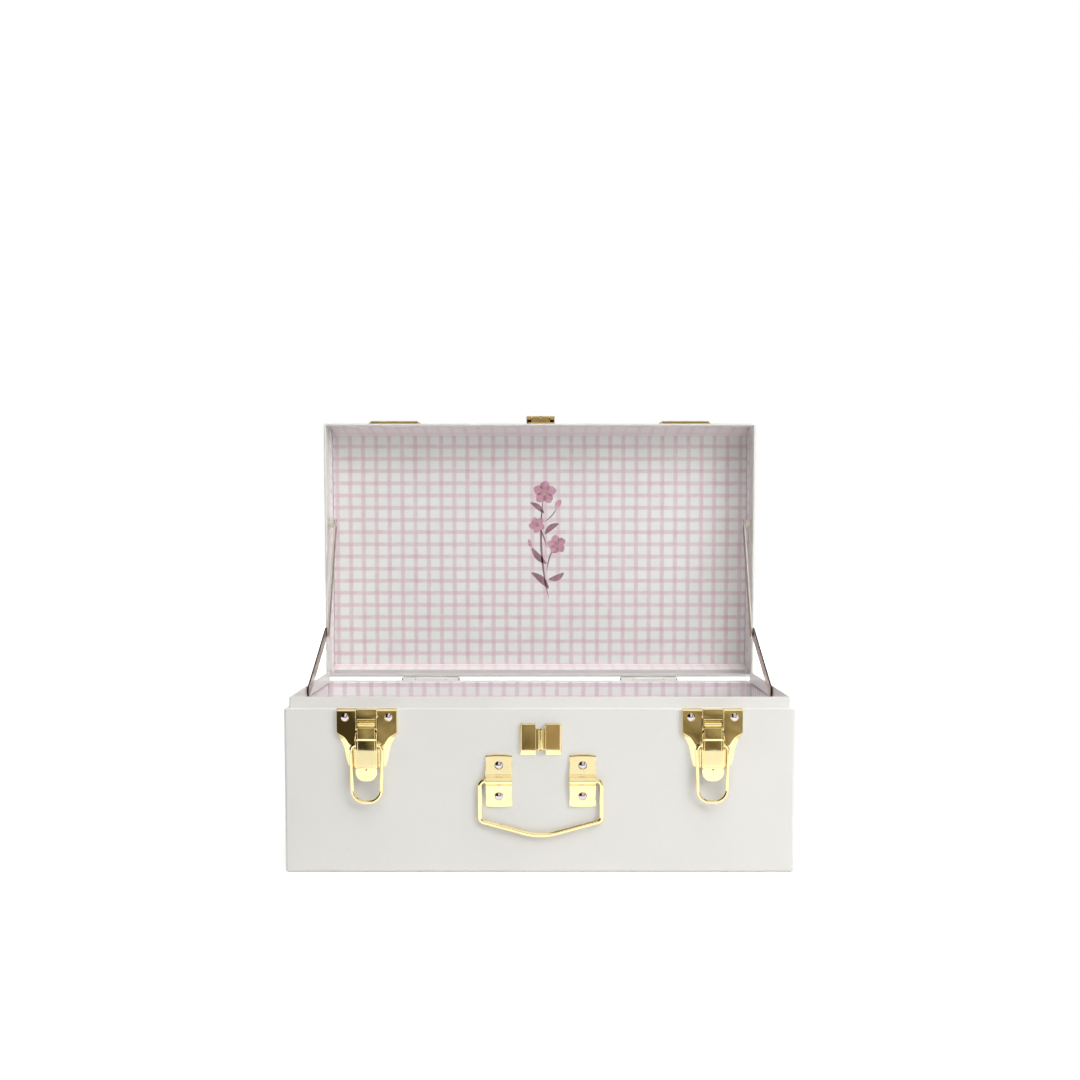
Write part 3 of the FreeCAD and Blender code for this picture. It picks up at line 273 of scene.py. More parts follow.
print("a rivet's dome has", len(dome(2.5, 1.2)[0]), "points")

# %% [markdown]
# ## Where things are
# The case's sizes are read from its CAD solids. Fittings on the front are drawn as (across, up, out)
# from the front face. Pieces of the lid are drawn with the lid shut, as the maker drew them, and then
# opened a quarter turn about the hinge.

# %% Sizes from the frame
def cad(node):
    """The lowest and highest corners of a CAD node, in millimetres to a hundredth."""
    return [np.round(np.array(corner) / MM, 2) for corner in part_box(node)]


HALF_WIDTH, HALF_DEPTH = cad("base_shell")[1][:2]
SEAM = cad("latch_plate_right")[1][2]
SEAM_GAP, LID_DEPTH, SHEET = 0.5, 30.0, 0.8
RIM = SEAM + SEAM_GAP
LID_TOP = RIM + LID_DEPTH
INNER_X, INNER_Y, PANEL_Z = HALF_WIDTH - SHEET, HALF_DEPTH - SHEET, LID_TOP - SHEET
HINGE_Y, HINGE_Z = HALF_DEPTH + 1.95, SEAM + 0.25
X, Y, Z = np.eye(3)
SIDES = (("left", -1), ("right", 1))
print("a case of", 2 * HALF_WIDTH, "by", 2 * HALF_DEPTH, "mm, with its seam at", SEAM, "mm")


# %% Ways to place a drawing
def placed(across, up, out, origin):
    """A mapping that lays the three ways of a drawing along the given axes, from an origin."""
    axes = np.array([across, up, out], float)
    return lambda points: points @ axes + origin


def stood(place, x, up, out):
    """A mapping that first moves a drawing by a fixed step and then places it."""
    return lambda points: place(points + [x, up, out])


on_front = placed(X, Z, -Y, (0, -HALF_DEPTH, 0))


def along_x(points):
    """A slab drawn as (y, z, x) becomes (x, y, z)."""
    return points[:, [2, 0, 1]]


def opened(points):
    """A quarter turn about the hinge: height above the pin becomes depth, depth becomes drop."""
    depth, drop = points[:, 2] - HINGE_Z, HINGE_Y - points[:, 1]
    return np.stack([points[:, 0], HINGE_Y + depth, HINGE_Z + drop], axis=1)


def open_lid(place):
    """A mapping for a piece of the lid: it is placed with the lid shut, and then opened."""
    return lambda points: opened(place(points))


def moved(shell, mapping):
    """The same shell with its points sent through a mapping."""
    points, quads, caps = shell
    return mapping(points), quads, caps


def slid(shells, x):
    """The same shells, moved along x."""
    return [moved(shell, placed(X, Y, Z, (x, 0, 0))) for shell in shells]


def side_view(section, level):
    """A section drawn as (out, up) from the front face and a level becomes (y, z)."""
    return np.asarray(section, float) * [-1, 1] + [-HALF_DEPTH, level]


print("open lid reaches up to z =", opened(np.array([[0, -HALF_DEPTH, RIM]]))[0, 2], "mm")

# %% [markdown]
# ## Finishes
# Each finish is a node material. A material could be one colour with one gloss, but real paint, metal
# and cloth vary a little everywhere, so noise patterns in Object coordinates mix close colours and
# roughen the surface. A few helpers keep the node trees short to write.

# %% Node helpers
def new_finish(name, **sockets):
    """A material with a Principled shader whose constant values are set on its own sockets."""
    finish = bpy.data.materials.new(name)
    finish.use_nodes = True
    shader = finish.node_tree.nodes["Principled BSDF"]
    for socket, value in sockets.items():
        shader.inputs[socket.replace("_", " ")].default_value = value
    return finish.node_tree, shader, finish


def add(tree, kind, inputs=(), **settings):
    """A node with its settings, and its inputs set to numbers or linked to other nodes' outputs."""
    made = tree.nodes.new(kind)
    for key, value in settings.items():
        setattr(made, key, value)
    for key, value in dict(inputs).items():
        if isinstance(value, bpy.types.NodeSocket):
            tree.links.new(value, made.inputs[key])
        else:
            made.inputs[key].default_value = value
    return made


def noise(tree, place, scale, detail=3.0, rough=0.55):
    """A cloudy pattern between 0 and 1."""
    inputs = {"Vector": place, "Scale": scale, "Detail": detail, "Roughness": rough}
    return add(tree, "ShaderNodeTexNoise", inputs).outputs["Fac"]


def spread(tree, value, low, high, start=0.0, end=1.0, smooth=False):
    """Send a value between low and high to one between start and end."""
    inputs = {"Value": value, "From Min": low, "From Max": high, "To Min": start, "To Max": end}
    kind = "SMOOTHSTEP" if smooth else "LINEAR"
    return add(tree, "ShaderNodeMapRange", inputs, interpolation_type=kind).outputs["Result"]


def mixed(tree, share, first, second):
    """A colour between two colours; the mixer's colour sockets are its inputs 6 and 7 and output 2."""
    inputs = {"Factor": share, 6: first, 7: second}
    return add(tree, "ShaderNodeMix", inputs, data_type="RGBA").outputs[2]


def bump(tree, shader, height, strength, distance):
    """Let a height pattern tilt the surface's normals."""
    made = add(tree, "ShaderNodeBump", {"Height": height, "Strength": strength, "Distance": distance})
    tree.links.new(made.outputs["Normal"], shader.inputs["Normal"])


def sums(tree, operation, first, second=0.0):
    """One arithmetic step with a value, or between two values."""
    return add(tree, "ShaderNodeMath", {0: first, 1: second}, operation=operation).outputs[0]


def off_middle(tree, value, middle):
    """How far a value is from a middle, on either side."""
    return sums(tree, "ABSOLUTE", sums(tree, "SUBTRACT", value, middle))


def where(tree):
    """The place on a piece, whole and as three numbers, in metres from the object's origin."""
    spot = add(tree, "ShaderNodeTexCoord").outputs["Object"]
    return spot, add(tree, "ShaderNodeSeparateXYZ", {"Vector": spot}).outputs


def linear(red, green, blue):
    """A colour written as on screen, 0 to 255, in the linear numbers that shaders use."""
    share = np.array([red, green, blue]) / 255
    return tuple(np.where(share <= 0.04045, share / 12.92, ((share + 0.055) / 1.055) ** 2.4)) + (1.0,)


print("a middle grey of 128 on screen is", round(linear(128, 128, 128)[0], 3), "in a shader")

# %% [markdown]
# ### Cream enamel
# The sheet is sprayed with a cream enamel. Its colour drifts a little, with darker specks, and a bump
# pattern gives it the faint orange-peel surface of sprayed paint. Behind the hinge a patchy grey band,
# found by its place, is painted into the colour: painted shade in the hollow between lid and case.

# %% Cream enamel
tree, shader, CREAM = new_finish("cream_enamel", Specular_IOR_Level=0.5)
spot, place = where(tree)
clouds = noise(tree, spot, 9.0, 4.0)
specks = noise(tree, spot, 700.0, 2.0)
tint = mixed(tree, spread(tree, clouds, 0.3, 0.7), linear(236, 235, 230), linear(243, 241, 237))
tint = mixed(tree, spread(tree, specks, 0.62, 0.8, 0.0, 0.35), tint, linear(226, 222, 213))
# Painted shade: a patchy grey band behind the hinge, where the lid and the case shade each other.
behind = spread(tree, place["Y"], 0.0885, 0.0905)
above = spread(tree, place["Z"], 0.0997, 0.1001)
below = spread(tree, place["Z"], 0.1045, 0.1025)
hinge_shade = sums(tree, "MULTIPLY", sums(tree, "MULTIPLY", behind, above), below)
hinge_shade_patches = spread(tree, noise(tree, spot, 60.0, 3.0), 0.3, 0.7, 0.75, 1.0)
tint = mixed(tree, sums(tree, "MULTIPLY", hinge_shade, hinge_shade_patches), tint, linear(212, 207, 206))
tree.links.new(tint, shader.inputs["Base Color"])
tree.links.new(spread(tree, noise(tree, spot, 55.0), 0.3, 0.7, 0.30, 0.42), shader.inputs["Roughness"])
dents = sums(tree, "MULTIPLY", noise(tree, spot, 45.0), 2.0)
bump(tree, shader, sums(tree, "ADD", noise(tree, spot, 420.0, 2.0), dents), 0.05, 0.0004)
print(CREAM.name, "has", len(tree.nodes), "nodes")

# %% [markdown]
# ### Polished brass, nickel and steel
# The fittings are brass-plated and polished, the rivets nickel, the stays steel. A metal's look is
# mostly what it mirrors, so its colour hardly varies. What counts is a low, mottled roughness and slow
# waves in the surface, which bend the reflections as hand-polished sheet does. The stays' bars have
# painted shade on one side or along their edges: a dark band at a given distance from the middle of the
# case.

# %% Metals
BAND, FADE = 0.001, 0.0001


def metal(name, colour, shade, rough, waves, shade_from=None, dark=(62, 54, 48)):
    """A polished metal: a mottled gloss, a faint tarnish, and slow waves that bend its reflections.
    In a narrow band that starts at shade_from metres from the middle of the case, the metal is painted
    dark: painted shade."""
    tree, shader, finish = new_finish(name, Metallic=1.0)
    spot, place = where(tree)
    mottle = noise(tree, spot, 160.0, 4.0)
    tint = mixed(tree, spread(tree, mottle, 0.3, 0.7), linear(*colour), linear(*shade))
    # Painted shade: a dark band on the stays' bars, where their sides and edges fall in shade.
    if shade_from:
        aside = sums(tree, "ABSOLUTE", place["X"])
        starts = spread(tree, aside, shade_from, shade_from + FADE)
        stops = spread(tree, aside, shade_from + BAND, shade_from + BAND - FADE)
        tint = mixed(tree, sums(tree, "MULTIPLY", starts, stops), tint, linear(*dark))
    tree.links.new(tint, shader.inputs["Base Color"])
    tree.links.new(spread(tree, mottle, 0.3, 0.75, rough, rough * 1.8), shader.inputs["Roughness"])
    bump(tree, shader, noise(tree, spot, 70.0, 1.0), waves, 0.0004)
    print(f"{name}: roughness from {rough}")
    return finish


GOLD = metal("polished_brass", (254, 239, 188), (252, 234, 177), 0.018, 0.03)
NICKEL = metal("nickel", (224, 217, 220), (208, 201, 205), 0.03, 0.03)
DRAWN = metal("drawn_brass", (254, 240, 192), (252, 234, 178), 0.09, 0.02)
# Painted shade: a darker, duller copy of the polished brass for the keepers and the hasp on the lid.
SHADED_BRASS = metal("aged_brass", (226, 201, 144), (200, 174, 118), 0.1, 0.05)
STEEL = metal("stay_steel", (204, 190, 178), (190, 175, 163), 0.12, 0.15)
BRIGHT = metal("bright_steel", (252, 248, 242), (246, 240, 232), 0.3, 0.02)
# Painted shade on the upper bars' inner side.
SIDE_SHADE_STEEL = metal("edged_steel", (252, 248, 242), (246, 240, 232), 0.3, 0.02, 0.14262, (166, 146, 130))
# Painted shade along the lower bars' edges.
EDGE_SHADE_STEEL = metal("blued_steel", (186, 170, 156), (166, 150, 136), 0.2, 0.05, 0.14505)
PIN = metal("pin_steel", (150, 146, 140), (128, 124, 118), 0.2, 0.15)
# A dark finish for painted shade in the thumb tab's dimple.
DIMPLE_SHADE = metal("tarnished_brass", (104, 90, 52), (84, 72, 42), 0.4, 0.05)
# A near-black finish for painted shade in the gaps under the hasp's knuckles.
GAP_SHADE = metal("bare_iron", (52, 44, 34), (38, 32, 26), 0.5, 0.05)

# %% [markdown]
# ### Checked cloth
# The lining is a cotton with a washed pink check. An image could carry the check, but a formula stays
# sharp at any distance: stripes are drawn in the cloth's own UV map, which is in millimetres, with a
# slow wobble so that they aren't ruled lines, and a fine wave in both directions is the weave.

# %% Checked cloth
CHECK_ACROSS, CHECK_UP, STRIPE, SOFT = 9.28, 8.694, 0.155, 0.05


def checked(name, strength, pale, deep):
    """Washed stripes both ways on a woven ground: a stripe is where the distance to the middle of its
    cycle is small, and where two stripes cross the ink is a little less than their sum."""
    tree, shader, finish = new_finish(name, Roughness=0.85, Sheen_Weight=0.25, Sheen_Roughness=0.4)
    weft = add(tree, "ShaderNodeUVMap", uv_map="cloth").outputs["UV"]
    wobble = add(tree, "ShaderNodeTexNoise", {"Vector": weft, "Scale": 0.16, "Detail": 3.0})
    inputs = {"Fac": 0.8, "Color1": weft, "Color2": wobble.outputs["Color"]}
    shaken = add(tree, "ShaderNodeMixRGB", inputs, blend_type="ADD").outputs[0]
    axes = add(tree, "ShaderNodeSeparateXYZ", {"Vector": shaken})
    bands, threads = [], []
    for axis, period in (("X", CHECK_ACROSS), ("Y", CHECK_UP)):
        cycle = sums(tree, "FRACT", sums(tree, "DIVIDE", axes.outputs[axis], period))
        apart = off_middle(tree, cycle, 0.5)
        bands.append(spread(tree, apart, STRIPE - SOFT, STRIPE + SOFT, 1.0, 0.0, smooth=True))
        inputs = {"Vector": weft, "Scale": 0.42, "Distortion": 0.6, "Detail": 1.0}
        weave = add(tree, "ShaderNodeTexWave", inputs, wave_type="BANDS", bands_direction=axis)
        threads.append(weave.outputs["Fac"])
    wash = spread(tree, noise(tree, weft, 0.13, 5.0, 0.65), 0.3, 0.7, 0.6 * strength, 1.15 * strength)
    both = sums(tree, "MULTIPLY", sums(tree, "MULTIPLY", *bands), 0.3)
    ink = sums(tree, "SUBTRACT", sums(tree, "MULTIPLY", sums(tree, "ADD", *bands), 0.6), both)
    ink = sums(tree, "MULTIPLY", ink, wash)
    drift = spread(tree, noise(tree, weft, 0.05, 3.0), 0.3, 0.7)
    ground = mixed(tree, drift, linear(*pale), linear(*deep))
    tree.links.new(mixed(tree, ink, ground, linear(222, 192, 202)), shader.inputs["Base Color"])
    bump(tree, shader, sums(tree, "ADD", *threads), 0.22, 0.00012)
    print(f"{name}: a check of {CHECK_ACROSS} by {CHECK_UP} mm at strength {strength}")
    return finish


CLOTH = checked("checked_cloth", 1.0, (246, 247, 245), (240, 241, 239))
# Painted light: a paler copy of the check, which makes the case's back and side boards lighter than its
# front and floor.
PALER_CLOTH = checked("case_cloth", 0.9, (253, 251, 251), (250, 247, 248))
TURNED = checked("turned_cloth", 0.4, (249, 241, 243), (246, 235, 239))

# %% [markdown]
# ## The two shells
# The case and its lid are folded from thin sheet. A box with a Solidify modifier would give the walls,
# but not the rolled edges. So each shell is one profile carried round a rectangle with rounded corners:
# up the outside, over the edge and down the inside, at the sheet's real thickness. The case's profile
# has a raised lip inside its edge, which stops short of the back wall.

# %% Shells as a profile round a ring
CORNER, BEND, INWARD = 1.9, 1.8, 40.0
LIP_END = HALF_DEPTH - 3.0


def tray(profile, plain=None):
    """Carry (inset, height) pairs round the case: straight sides and quarter-circle corners.
    A corner's radius is the case's less the inset, and never under a millimetre. At LIP_END the
    profile first drops to the plain one's height, and the columns behind follow the plain one."""
    plain = profile if plain is None else plain
    quarter = np.linspace(0, math.pi / 2, 9)
    ones, trio = np.ones(9), np.ones(3)
    side_x = np.concatenate([ones, trio, ones, -ones, -trio, -ones])
    side_y = np.concatenate([-ones, 0 * trio, ones, ones, 0 * trio, -ones])
    turn = np.concatenate([
        quarter - math.pi / 2, 0 * trio, quarter, quarter + math.pi / 2, math.pi * trio, quarter + math.pi])
    back = np.concatenate([0 * ones, [0, 0.5, 1], ones, ones, [1, 0.5, 0], 0 * ones])
    inset = np.where(back < 1, profile[:, :1], plain[:, :1])
    dropped = np.minimum(profile[:, 1:], plain[:, 1].max())
    height = np.where(back == 1, plain[:, 1:], np.where(back == 0.5, dropped, profile[:, 1:]))
    radius = np.maximum(CORNER - inset, 1.0)
    x = side_x * (HALF_WIDTH - inset - radius) + radius * np.cos(turn)
    y = side_y * (HALF_DEPTH - inset - radius) + radius * np.sin(turn)
    stop = np.minimum(LIP_END + 0.05 * back, HALF_DEPTH - inset - radius - 0.05 + 0.03 * back)
    y = np.where(side_y == 0, stop, y)
    return closed_rows(np.stack([x, y, height], axis=2))


print("one ring of a shell has", len(tray(np.eye(2))[0]) // 2, "points")


# %% The case's shell
case_start = np.concatenate([[[INWARD, 0]], arc((BEND, BEND), BEND, 270, 180)])
case_end = np.concatenate([
    [[SHEET, SEAM - 1.3]], arc((BEND, BEND), BEND - SHEET, 180, 270), [[INWARD, SHEET]]])
lip = np.concatenate([
    arc((0.7, SEAM - 0.7), 0.7, 180, 90, 4), arc((2.4, SEAM + 0.4), 0.4, 270, 360, 3),
    arc((3.2, SEAM + 6.3), 0.4, 180, 0), [[3.6, SEAM - 0.5], [3.4, SEAM - SHEET], [1.0, SEAM - SHEET]]])
bare = arc((0.4, SEAM - 0.4), 0.4, 180, 0, len(lip) - 1)
case_rows = np.concatenate([case_start, lip, case_end])
back_rows = np.concatenate([case_start, bare, case_end])
case = tray(case_rows, back_rows)
add_piece("case_shell", [case], CREAM, "base", ["base_shell"], sharp=50)

# %% The lid's shell
HEM = RIM + 5.0
lid_rows = np.concatenate([
    [[INWARD, PANEL_Z]], arc((BEND, LID_TOP - BEND), BEND - SHEET, 90, 180),
    [[SHEET, HEM + 0.3], [0.86, HEM + 0.05]], arc((1.2, HEM - 0.4), 0.4, 90, 0, 3),
    arc((0.8, RIM + 0.8), 0.8, 0, -180, 8), arc((BEND, LID_TOP - BEND), BEND, 180, 90),
    [[INWARD, LID_TOP]]])
lid = moved(tray(lid_rows), opened)
add_piece("lid_shell_skin", [lid], CREAM, "lid", ["lid_shell"], sharp=50)

# %% [markdown]
# ## The lining
# The lining is checked cloth glued over thin card. There is a flat panel in the lid, and a board on
# the floor and on each wall of the case. Glued cloth doesn't drape, so nothing is simulated: a board
# is a grid whose edges fall away along a quarter circle, with the slight ripple that cloth on card has.
# The check follows the cloth's own length, in millimetres.

# %% Boards
BOARD, BOARD_FOOT, RIPPLE = 1.4, 0.3, 0.05


def board(half_across, half_up, edge, step=5.0):
    """A thin cushion-edged board as (across, up, height): the height follows a quarter circle within
    an edge's width of the border and is level inside, plus a ripple of a few hundredths."""
    def lines(half):
        """Places along one way: close together on both round edges, and about a step apart between."""
        fall = edge * (1 - np.cos(np.linspace(0, math.pi / 2, 6)))
        inner = np.linspace(-half + edge, half - edge, max(int(2 * half / step), 3))
        return np.concatenate([-half + fall[:-1], inner, half - fall[:-1][::-1]])
    across, up = np.meshgrid(lines(half_across), lines(half_up))
    near = np.minimum(half_across - np.abs(across), half_up - np.abs(up))
    share = np.clip(1 - near / edge, 0, 1)
    ripple = RIPPLE * np.sin(across / 11.0 + 1.7 * np.sin(up / 23.0)) * np.sin(up / 17.0)
    level = BOARD_FOOT + (BOARD - BOARD_FOOT) * np.sqrt(1 - share ** 2) + ripple * (1 - share)
    rows, columns = level.shape
    top = np.stack([across, up, level], axis=2).reshape(-1, 3)
    order = np.arange(rows * columns).reshape(rows, columns)
    border = np.concatenate([order[0, :-1], order[:-1, -1], order[-1, :0:-1], order[:0:-1, 0]])
    foot = top[border] * [1, 1, 0]
    ring = np.arange(len(border)) + len(top)
    walls = np.stack([ring, np.roll(ring, -1), np.roll(border, -1), border], axis=1)
    quads = np.concatenate([grid_faces(rows, columns, wrap_columns=False), walls])
    return np.concatenate([top, foot]), quads, [ring[::-1]]


def add_board(name, halves, place, body, node, shift, edge=1.1, cover=CLOTH):
    """A board with its cloth: the check's phase is set by a shift along each way of the cloth."""
    shape = board(*halves, edge)
    cloth = shape[0][:, :2] + np.asarray(shift)
    add_piece(name, [moved(shape, place)], cover, body, [node], cloth=cloth, sharp=60)


print("a board is", BOARD, "mm thick")

# %% Boards in the lid and the case
END_FOOT, SIDE_FOOT = 6.0, 1.5
halves = (INNER_X - SIDE_FOOT - 0.05, INNER_Y - END_FOOT + 0.25)
place = open_lid(placed(X, -Y, -Z, (0, 0, PANEL_Z)))
add_board("lid_lining_panel", halves, place, "lid", "lid_liner_panel", (0.3, -0.49), edge=0.5)

WALL_LOW, WALL_HIGH, SIDE_DROP = 2.4, SEAM - 1.1, 0.75
MIDDLE, TALL = (WALL_LOW + WALL_HIGH) / 2, (WALL_HIGH - WALL_LOW) / 2
SIDE_HALVES = (INNER_Y - 1.6, TALL - SIDE_DROP)
# The back and side boards get the paler copy of the check: painted light.
TIGHT = {"edge": 0.4, "cover": PALER_CLOTH}
for way, halves, place, shift, look in (
        ("back", (INNER_X - 1.3, TALL), placed(X, Z, -Y, (0, INNER_Y, MIDDLE)), (1.52, 2.67), TIGHT),
        ("front", (INNER_X - 1.6, TALL), placed(-X, Z, Y, (0, -INNER_Y, MIDDLE)), (0.3, 1.0), {}),
        ("left", SIDE_HALVES, placed(Y, Z, X, (-INNER_X, 0, MIDDLE - SIDE_DROP)), (2.0, 1.0), TIGHT),
        ("right", SIDE_HALVES, placed(-Y, Z, -X, (INNER_X, 0, MIDDLE - SIDE_DROP)), (2.0, 1.0), TIGHT),
        ("floor", (INNER_X - 1.8, INNER_Y - 1.7), placed(X, Y, Z, (0, 0, SHEET)), (0.3, 3.0), {})):
    add_board(f"case_lining_{way}", halves, place, "base", f"base_liner_{way}", shift, **look)

# %% [markdown]
# ### Leaning strips in the lid
# Four strips of covered card lean from the lid's panel to its walls and meet in mitred corners. A
# strip is a closed section, stretched along its wall: each of its points stops at its own length, on
# the line where the neighbour leans, and that gives the mitre without any cutting.

# %% Strips
STRIP_NEAR, STRIP_FAR, STRIP_END, STRIP_BACK = 22.4, 27.8, 29.1, 0.02
ROLL, BULGE, FAN = 0.6, 0.3, 0.028
roll_depths = STRIP_NEAR + ROLL * (1 - np.cos(np.linspace(0, math.pi / 2, 6)))
flat_depths = np.linspace(STRIP_NEAR + 2 * ROLL, STRIP_FAR, 8)
STRIP_DEPTHS = np.concatenate([roll_depths, flat_depths, [STRIP_END]])


def lean(depth, foot, start):
    """How far a strip stands off its wall: it rounds off at its start, then leans in to its foot."""
    along = np.clip((depth - STRIP_NEAR) / (STRIP_FAR - STRIP_NEAR), 0, 1)
    rounded = np.sqrt(1 - (1 - np.clip(along / 0.1, 0, 1)) ** 2)
    return start * rounded + (foot - start) * along + BULGE * np.sin(math.pi * along)


def strip(own, other, half_along, step=6.0):
    """A strip as (along, standing off, depth): rings of a closed section, stretched along the wall and
    cut at both ends on the line where it meets its neighbour. Its cloth is drawn out a little towards
    the lid's rim, so the stripes fan out from the middle."""
    face = np.stack([lean(STRIP_DEPTHS, *own), STRIP_DEPTHS], 1)
    section = np.concatenate([face, [[STRIP_BACK, STRIP_END], [STRIP_BACK, STRIP_NEAR]]])
    ends = half_along - lean(section[:, 1], *other) - 0.05
    share = np.linspace(-1, 1, int(2 * half_along / step))
    along = share[:, None] * ends[None]
    wave = RIPPLE * np.sin(along / 13.0) * (section[:, 0] > 0.5)
    depth = np.broadcast_to(section[:, 1], along.shape)
    rings = np.stack([along, section[None, :, 0] + wave, depth], axis=2)
    length = np.concatenate([[0], np.cumsum(np.linalg.norm(np.diff(section, axis=0), axis=1))])
    fan = 1 - FAN * (1 - length / length[len(STRIP_DEPTHS) - 1])
    cloth = np.stack([along * fan, np.broadcast_to(length, along.shape)], axis=2).reshape(-1, 2)
    return closed_rows(rings), cloth


print("a strip's section has", len(STRIP_DEPTHS) + 2, "points")

# %% Strips in the lid
FRONT, BACK, SIDE = (END_FOOT, 0.7), (END_FOOT, 2.3), (SIDE_FOOT, 1.3)
for way, own, other, half, place in (
        ("front", FRONT, SIDE, INNER_X, placed(X, Y, Z, (0, -INNER_Y, RIM))),
        ("back", BACK, SIDE, INNER_X, placed(-X, -Y, Z, (0, INNER_Y, RIM))),
        ("left", SIDE, BACK, INNER_Y, placed(-Y, X, Z, (-INNER_X, 0, RIM))),
        ("right", SIDE, BACK, INNER_Y, placed(Y, -X, Z, (INNER_X, 0, RIM)))):
    shape, cloth = strip(own, other, half)
    add_piece(f"lid_lining_{way}", [moved(shape, open_lid(place))], TURNED, "lid",
              [f"lid_liner_{way}"], cloth=cloth + [0.3, 6.5], sharp=60)

CARD_LOW, CARD_HIGH, CARD_OUT, CARD_HALF = 21.8, 22.5, 2.2, 146.9
edge = rectangle(INNER_Y - CARD_OUT, CARD_LOW, INNER_Y - STRIP_BACK, CARD_HIGH) + [0, RIM]
shape = moved(slab(edge, -CARD_HALF, CARD_HALF, 0.1), open_lid(along_x))
add_piece("lid_lining_card_edge", [shape], CREAM, "lid")

# %% [markdown]
# ## A printed sprig
# The lid's panel carries a small print in dusty pinks: a plain flowering twig. Every leaf and petal is
# a blade, a bent middle line with a width that swells and closes. Thin films on the panel are used
# instead of an image, so the print stays sharp and needs no picture file.

# %% Sprig
def blade(root, tip, width, bend=0.0, steps=12):
    """Both sides of a bent line from root to tip: half the width times a power of a half sine wave."""
    root, tip = np.array(root, float), np.array(tip, float)
    part = np.linspace(0.03, 0.97, steps)
    across = np.array([root[1] - tip[1], tip[0] - root[0]]) / np.linalg.norm(tip - root)
    line = root + (tip - root) * part[:, None] + across * (bend * 4 * part * (1 - part))[:, None]
    side = across * (width / 2 * np.sin(math.pi * part) ** 0.8)[:, None]
    return np.concatenate([line + side, (line - side)[::-1]])


def blossom(x, z, size, turn):
    """Five petals round a point, each turned by a fifth of a circle."""
    inner, outer, width = 0.9 * size, 7.5 * size, 6.0 * size
    way = np.radians(turn + 72 * np.arange(5))
    return [blade((x + inner * c, z + inner * s), (x + outer * c, z + outer * s), width, 0.5)
            for c, s in zip(np.cos(way), np.sin(way))]


def heart(x, z, half):
    """A flower's round middle."""
    return round_corners(rectangle(x - half, z - half, x + half, z + half), half * 0.98)


def printed(name, outlines, lift, colour, shade):
    """Outlines as thin films on the panel's face, in two mingled colours like a water-colour wash."""
    tree, shader, finish = new_finish(name + "_ink", Roughness=0.85)
    spot, _ = where(tree)
    wash = spread(tree, noise(tree, spot, 190.0, 4.0, 0.65), 0.32, 0.68)
    tree.links.new(mixed(tree, wash, linear(*colour), linear(*shade)), shader.inputs["Base Color"])
    bump(tree, shader, noise(tree, spot, 2600.0, 1.0), 0.2, 0.0001)
    place = open_lid(placed(X, -Y, -Z, (0, HINGE_Y + HINGE_Z, PANEL_Z - BOARD)))
    shells = [moved(slab(outline, lift, lift + 0.05, 0.01, 1), place) for outline in outlines]
    add_piece(name, shells, finish, "lid")


print("a flower has", len(blossom(0, 0, 1, 0)), "petals")

# %% Stems, leaves and flowers
stems = [blade((7.0, 151.0), (3.2, 230.0), 1.5, 4.0, 30), blade((5.0, 189.0), (-2.0, 207.0), 1.0, -1.0),
         blade((5.0, 172.0), (12.0, 193.0), 1.0, 1.5), blade((3.0, 208.0), (12.5, 219.0), 0.9, -1.2)]
leaves = [blade((6.6, 160), (-6.5, 172), 4.6, -1.5), blade((6.0, 167), (17.5, 172), 4.2, -1.5),
          blade((5.2, 178), (-6.0, 190), 4.2, 1.2), blade((3.4, 199), (14.0, 207), 4.0, 1.4),
          blade((3.2, 214), (-7.0, 222), 3.6, -1.0)]
buds = [blade((11.5, 217.5), (15.0, 224.0), 4.2, 0.3), blade((-6.0, 190), (-8.0, 196), 2.6, 0.2)]
petals, hearts = [], []
for x, z, size, turn, half in (
        (3.5, 229.0, 1.15, 10, 1.9), (-2.0, 206.0, 0.8, 40, 1.4), (12.0, 192.0, 0.95, 25, 1.6)):
    petals += blossom(x, z, size, turn)
    hearts.append(heart(x, z, half))
printed("sprig_leaves", stems + leaves, 0.06, (172, 136, 148), (146, 106, 122))
printed("sprig_petals", petals + buds, 0.10, (226, 178, 194), (188, 134, 156))
printed("sprig_hearts", hearts, 0.16, (158, 110, 130), (206, 168, 160))

# %% [markdown]
# ## The draw latches
# Each latch is a pressed plate, a lever on a pin and a wire loop. A plate could be sculpted from a
# cube, but a pressing is better drawn as a section across its width, carried from its toe to its top: a
# flat face between two leaning flanks, with a channel in the middle. How wide the foot, the face and
# the channel are at each height is read off the photograph.

# %% Latch plates
PLATE_LOW, PLATE_HIGH = cad("latch_plate_right")
LATCH_X = round((PLATE_LOW[0] + PLATE_HIGH[0]) / 2, 2)
LATCH_TOP, TOE, PROUD = SEAM, SEAM - 34.6, 2.6
levels = np.concatenate([[0, 0.2, 0.6], np.linspace(1.4, 33.8, 44), [34.3, 34.6, 34.8]])
FOOT_LINE = [(0, 10.3), (2.6, 11.5), (5.8, 12.3), (9.1, 12.9), (12.5, 13.7), (15.6, 15.1), (18.1, 16.6),
             (19.6, 17.6), (20.2, 17.9), (34.8, 17.9)]
FACE_LINE = [(0, 7.95), (8.6, 8.3), (12.0, 9.7), (13.6, 10.6), (16.1, 12.0), (18.2, 13.6), (19.8, 16.2),
             (20.5, 17.4), (34.8, 17.45)]
GROOVE_LINE = [(0, 7.65), (13.0, 7.65), (20.0, 6.45), (34.8, 6.45)]


